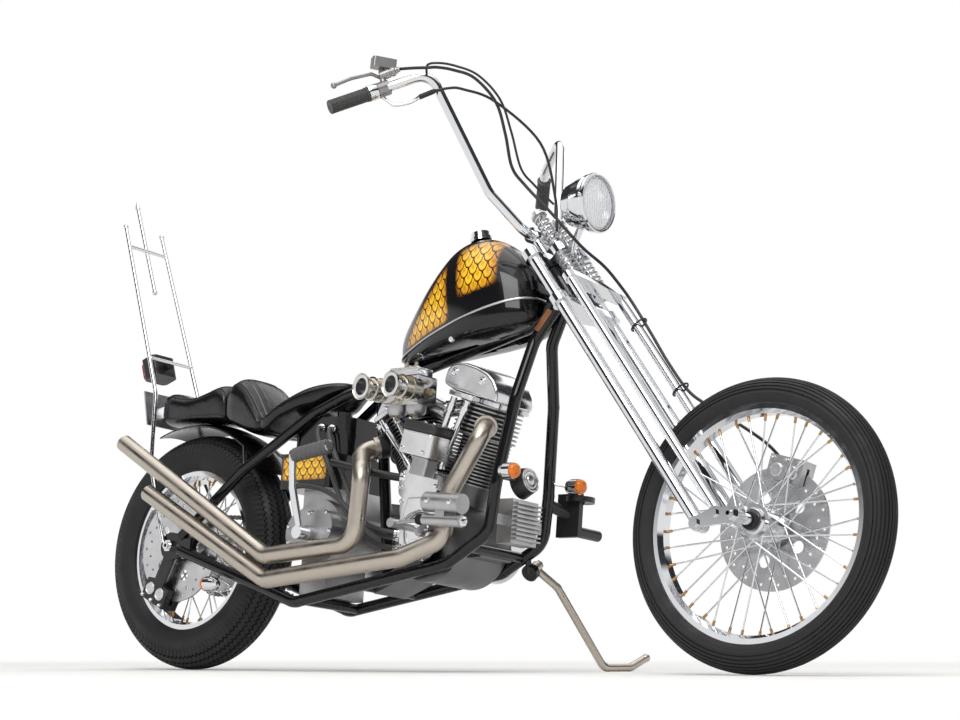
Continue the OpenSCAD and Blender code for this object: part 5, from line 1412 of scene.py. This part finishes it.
# %% Hoses
hose_rubber = finish_material("hose_rubber", (0.05, 0.049, 0.048), shine=(0.4, 0.6),
                              grain_bump=(1400.0, 300.0, 0.15, 0.0004))
OIL_FEED = [
    (541, -88, 622), (548, -106, 616), (566, -124, 592), (596, -131, 546), (625, -131, 500),
    (648, -127, 452), (672, -116, 400), (708, -102, 358), (752, -92, 334), (800, -86, 326),
]
OIL_RETURN = [
    (504, -88, 626), (510, -108, 620), (530, -128, 594), (562, -134, 546), (592, -134, 498),
    (616, -130, 448), (642, -118, 394), (682, -102, 344), (736, -90, 312), (800, -84, 302),
]
OIL_VENT = [
    (452, -119, 470), (470, -131, 468), (520, -134, 463), (570, -132, 452), (618, -128, 428),
    (664, -120, 392), (712, -112, 362), (760, -106, 346), (800, -84, 340),
]
BREATHER = [
    (836, -114, 474), (806, -124, 478), (772, -134, 484), (730, -144, 493), (670, -152, 506),
    (613, -158, 518),
]
FUEL_LINE = [
    (822, -128, 746), (822, -127, 765), (819, -115, 783), (813, -92, 794), (808, -66, 800), (806, -48, 803),
]
# Columns: name, diameter, route upright, rubber, far end
HOSES = [
    ("oil_feed", 13, OIL_FEED, hose_rubber, "object"),
    ("oil_return", 13, OIL_RETURN, hose_rubber, "object"),
    ("oil_vent", 13, OIL_VENT, hose_rubber, "object"),
    ("breather", 20, BREATHER, sheath, "bare"),
    ("fuel_line", 8, FUEL_LINE, hose_rubber, "object"),
]
# Collar; columns: how far it stands out from the hose, height along it
COLLAR = [(3, -4), (4, 0), (4, 5), (1.6, 7), (1.6, 14), (0.6, 15)]
collars = Turnings()
for name, diameter, route, material, far_end in HOSES:
    line = [parked @ (p / 1000) for p in smooth_path(route, PATH_STEPS)]
    hose = add_tube(name, line, diameter / 1000, material, "chassis")
    collar = [(diameter / 2 + out, z) for out, z in COLLAR]
    collars.turn(facing(line[0], line[2] - line[0]), collar)
    if far_end == "object":
        collars.turn(facing(line[-1], line[-3] - line[-1]), collar)
collars.piece("hose_collars", chrome, "chassis", "bright_chrome")
print("hoses:", [name for name, *_ in HOSES])

# %% [markdown]
# Two ties hold the brake hose to the fork leg, and a small blank plate sits on the neck. A tie is a
# closed tube round hose and leg. The plate lies along the neck's tube, so its frame is built from the
# tube's own direction and the side it faces.

# %% Ties and neck plate
TIE_HEIGHTS = (700, 480)
TIE_POINTS = 32
TIE_D = 0.005
# Middle of a tie from the steering axis, and its half sizes: ahead, to the left
TIE_MIDDLE = (73.5, 108)
TIE_HALF = (22.5, 15.2)
NECK_PLATE_AT = (1184, -25, 866)
# Length, width and corner
NECK_PLATE = (62, 16, 3)
NECK_AXIS = (57, 20, 95)

for k, height in enumerate(TIE_HEIGHTS):
    loop = []
    for i in range(TIE_POINTS):
        a = 2 * math.pi * i / TIE_POINTS
        ahead = TIE_MIDDLE[0] + TIE_HALF[0] * math.cos(a)
        left = TIE_MIDDLE[1] + TIE_HALF[1] * math.sin(a)
        loop.append(steered @ mm(ahead, left, height))
    add_tube(f"hose_tie_{k + 1}", loop, TIE_D, sheath, "fork", closed=True)

copper = finish_material("copper_plate", (0.62, 0.26, 0.12), 0.9, shine=(0.25, 0.45),
                         grain_bump=(900.0, 120.0, 0.1, 0.0004))
neck_way = mm(*NECK_AXIS).normalized()
neck_side = neck_way.cross(RIGHT).normalized()
neck_turn = Matrix((neck_way, -neck_side, neck_side.cross(neck_way))).transposed().to_4x4()
plate_place = parked @ shift(*NECK_PLATE_AT) @ neck_turn
add_plate("neck_plate", rounded_outline(*NECK_PLATE), 14.6, 16.2, plate_place, copper, 0.5)
print("ties:", len(TIE_HEIGHTS))

# %% [markdown]
# The battery box carries a panel of the same scales as the tank. Its faces are flat, so no map is needed:
# the place on the object gives the way along and the height, and the box's own corners set the border.

# %% Battery box panel
SCALE_PITCH = (0.028, 0.036)
# Plain border at the panel's ends, below it and above it
BORDER_ENDS = 0.012
BORDER_BELOW = 0.046
BORDER_ABOVE = 0.008
BOX_LOW, BOX_HIGH = (Vector(corner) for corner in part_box("electrics_box"))


def box_along(tree):
    return axis_of(tree, object_place(tree), "X")


def box_height(tree):
    return axis_of(tree, object_place(tree), "Z")


def box_panels(tree, along, up):
    wide = panel_fade(tree, along, BOX_LOW.x + BORDER_ENDS, BOX_HIGH.x - BORDER_ENDS, soft=0.02)
    high = panel_fade(tree, up, BOX_LOW.z + BORDER_BELOW, BOX_HIGH.z - BORDER_ABOVE, soft=0.010)
    return maths(tree, "MULTIPLY", wide, high)


battery_paint = scale_paint("battery_paint", SCALE_PITCH, box_along, box_height, box_panels)
dress(parts["electrics_box"], battery_paint)
print("battery panel done")

# %% [markdown]
# Every spoke ends in a brass nipple at the rim. The spokes cross, so a nipple points from the hub end of
# its spoke to the rim end, and both are worked out by the same rule as the lacing itself.

# %% Spoke nipples
SPOKES = 40
SPOKE_SWEEP = math.radians(62)
RIM_SPREAD = 5
NIPPLE = [(2.6, -15), (3.4, -14), (3.4, -3), (4.2, 0), (4.2, 3)]
# Columns: name, axle, body, radius and half spread at the hub, radius at the rim
LACINGS = [
    ("front_nipples", front_axle, "front_wheel_set", 37, 36, 260),
    ("rear_nipples", rear_axle, "rear_wheel_set", 49, 46, 198),
]
nipple_brass = finish_material("nipple_brass", (0.50, 0.30, 0.13), 1.0, shine=(0.3, 0.5))
for name, axle, body, hub_r, hub_y, rim_r in LACINGS:
    nipples = Turnings()
    for i in range(SPOKES):
        side = 1 if i % 2 == 0 else -1
        sweep = SPOKE_SWEEP if i // 2 % 2 == 0 else -SPOKE_SWEEP
        rim_turn = 2 * math.pi * i / SPOKES
        hub_turn = rim_turn + sweep
        hub_end = axle @ mm(hub_r * math.cos(hub_turn), hub_r * math.sin(hub_turn), side * hub_y)
        rim_end = axle @ mm(rim_r * math.cos(rim_turn), rim_r * math.sin(rim_turn), side * RIM_SPREAD)
        nipples.turn(facing(rim_end, rim_end - hub_end), NIPPLE, sides=10)
    nipples.piece(name, nipple_brass, body, "cast_aluminium")
print("nipples:", len(LACINGS) * SPOKES)

# %% [markdown]
# Between the flanges of the front hub lies a polished drum, with a rubber seal on its right, and both
# brake calipers have round piston caps and bolts. The calipers are turned about their axles by their own
# angles, so the caps are placed in the caliper's frame.

# %% Hub and caliper caps
HUB_DRUM = [(22.3, -45.8), (28, -45.4), (32, -42), (33, -39.5), (33, 33)]
HUB_SEAL = [(15, -46.2), (22, -46.2), (22.6, -48), (21, -56), (19, -58), (15, -58)]
PISTON_CAP = [(17, -1), (17, 3), (14, 5), (12.5, 3.6), (5, 3.6), (4, 5), (1, 5.4)]
CALIPER_R = 110
PISTONS = [(23, -21), (23, 21)]
CALIPER_BOLTS = [(49, -38), (49, 0), (49, 38)]
# Columns: name, axle, body, turn about the axle in degrees, place of the right face along the axle
CALIPERS = [
    ("front_caliper_caps", front_axle, "fork", -38, 31.8),
    ("rear_caliper_caps", rear_axle, "chassis", 115, -109.2),
]

hub_drum = Turnings()
hub_drum.turn(front_axle, HUB_DRUM, sides=64)
hub_drum.piece("front_drum", polished_alloy, "front_wheel_set", "polished_aluminium")
hub_seal = Turnings()
hub_seal.turn(front_axle, HUB_SEAL, sides=48, ring=True)
hub_seal.piece("hub_seal", rubber, "front_wheel_set", "tyre_rubber")

for name, axle, body, turn, face in CALIPERS:
    caliper = axle @ Matrix.Rotation(math.radians(turn), 4, "Z") @ shift(CALIPER_R, 0, face)
    outward = caliper.to_3x3() @ Vector((0, 0, -1))
    caps = Turnings()
    for x, y in PISTONS:
        caps.turn(facing(caliper @ mm(x, y, 0), outward), PISTON_CAP, sides=40)
    for x, y in CALIPER_BOLTS:
        caps.turn(facing(caliper @ mm(x, y, 0), outward), nut(12, 6), sides=6)
    caps.piece(name, satin_chrome, body, "polished_aluminium")
print("hub and calipers done")

# %% [markdown]
# The horn's face is a dished metal disc with rings pressed into it, turned like the other round pieces,
# and two large screws hold the tank's skirt.

# %% Horn face and tank screws
HORN_AT = (1128, 0, 470)
HORN_TILT = math.radians(75)
HORN_FACE = [
    (31.5, 16.5), (31.5, 19), (29, 21), (27, 19), (23, 18.6), (21, 20.4), (18, 18.6), (13, 18.6),
    (11, 21), (7, 22), (1, 22.4),
]
TANK_SCREWS = [(938, -94, 828), (806, -60, 808)]

horn_way = parked_turn @ Vector((math.sin(HORN_TILT), 0, math.cos(HORN_TILT)))
horn_face = Turnings()
horn_face.turn(facing(parked @ mm(*HORN_AT), horn_way), HORN_FACE, sides=64)
horn_face.piece("horn_face", satin_chrome, "chassis", "polished_aluminium")
skirt_way = parked_turn @ Vector((0, -1, -0.15))
tank_screws = Turnings()
for place in TANK_SCREWS:
    tank_screws.turn(facing(parked @ mm(*place), skirt_way), screw_head(15, 6), sides=28)
tank_screws.piece("tank_screws", chrome, "chassis", "bright_chrome")
print("tank screws:", len(TANK_SCREWS))

# %% [markdown]
# On the right of the engine a raised rib crosses the cam cover. In front of it lies the brake's master
# cylinder, with a ribbed rubber boot round its push rod, a hexagon cap and the screws of its reservoir.
# The boot takes the same ribs as the grips, at another size.

# %% Cam cover rib and brake cylinder
# Places from the crankshaft
COVER_RIB = [(-56, 34), (-40, 92), (50, 92), (60, 60), (50, 34), (30, 50), (0, 58), (-30, 50)]
MASTER_REAR = mm(72, -194, 24)
MASTER_FRONT = mm(192, -194, 16)
RESERVOIR_SCREWS = [(98, -218.5, 66), (170, -218.5, 60)]

add_plate("cam_cover_rib", COVER_RIB, 126, 137, at_crank @ tipped, polished_alloy, 4)
master_way = parked_turn @ (MASTER_FRONT - MASTER_REAR)
boot_ribs = ribbed_sleeve(r=13.5, low=0.5, high=22, ribs=4, depth=2.5)
boot_profile = [(13, -0.5)] + boot_ribs + [(8, 25), (5, 26)]
boot = Turnings()
boot.turn(facing(at_crank @ MASTER_REAR, -master_way), boot_profile, sides=36)
boot.piece("master_boot", rubber, "chassis", "grip_rubber")
master_caps = Turnings()
master_caps.turn(facing(at_crank @ MASTER_FRONT, master_way), nut(26, 9), sides=6)
for place in RESERVOIR_SCREWS:
    master_caps.turn(facing(at_crank @ mm(*place), parked_right), screw_head(13, 5))
master_caps.piece("master_caps", chrome, "chassis", "bright_chrome")
print("brake cylinder done")

# %% [markdown]
# On the right end of the handlebar a grey brake cylinder lies under its reservoir, with a ball-ended
# lever. The throttle drum is chromed, and a bright elbow leads the cable out of it to a rubber sleeve.
# All but the elbow are round, so they are turned along the lines that they lie on.

# %% Hand controls
# Places from the steering axis
LEVER_TIP = (-59.4, -466.5, 1462)
BALL_R = 8
CYLINDER_FROM = mm(14, -357, 1471)
CYLINDER_TO = mm(60, -333, 1462.5)
CYLINDER = [
    (10, 0), (12.5, 2), (12.5, 26), (11, 27), (11, 31), (12.5, 32), (12.5, 40), (9, 42), (9, 46), (7, 47),
    (7, 53), (5, 54),
]
THROTTLE_DRUM = [(18, 1.6), (20.4, 2), (20.8, 4), (20.8, 22), (20.4, 24.6), (18, 25)]
ELBOW = [
    (-17, -358, 1430), (-12, -345, 1423), (-10, -338, 1414), (-3, -328, 1395), (30, -312, 1378),
    (58, -302, 1376),
]
ELBOW_D = 0.0086
SLEEVE_FROM = mm(54, -303.5, 1376.4)
SLEEVE_TO = mm(94, -282, 1371)
SLEEVE = [(4, 0), (6.5, 1), (6.5, 38), (5.5, 41), (4, 46)]


def along_fork(start, end):
    """A frame at a place on the fork, with its Z axis towards another place."""
    return facing(steered @ start, steered_turn @ (end - start))


control_grey = finish_material("control_grey", (0.30, 0.29, 0.285), 0.7, shine=(0.28, 0.42),
                               grain_bump=(900.0, 200.0, 0.12, 0.0004))
dress(parts["hand_controls"], control_grey)
ball = round_row(0, 0, BALL_R, [math.radians(a) for a in range(-84, 85, 12)])
cylinder = Turnings()
cylinder.turn(along_fork(CYLINDER_FROM, CYLINDER_TO), CYLINDER, sides=36)
cylinder.turn(steered @ shift(*LEVER_TIP), ball)
cylinder.piece("brake_cylinder", control_grey, "fork", "cast_aluminium")
throttle_drum = Turnings()
throttle_drum.turn(along_fork(BAR_BEND, BAR_END), THROTTLE_DRUM, sides=48, ring=True)
throttle_drum.piece("throttle_drum", chrome, "fork", "bright_chrome")
elbow_line = [steered @ (p / 1000) for p in smooth_path(ELBOW, 6)]
add_tube("throttle_elbow", elbow_line, ELBOW_D, chrome, "fork")
sleeve = Turnings()
sleeve.turn(along_fork(SLEEVE_FROM, SLEEVE_TO), SLEEVE)
sleeve.piece("throttle_sleeve", rubber, "fork", "cable_black")
print("hand controls done")
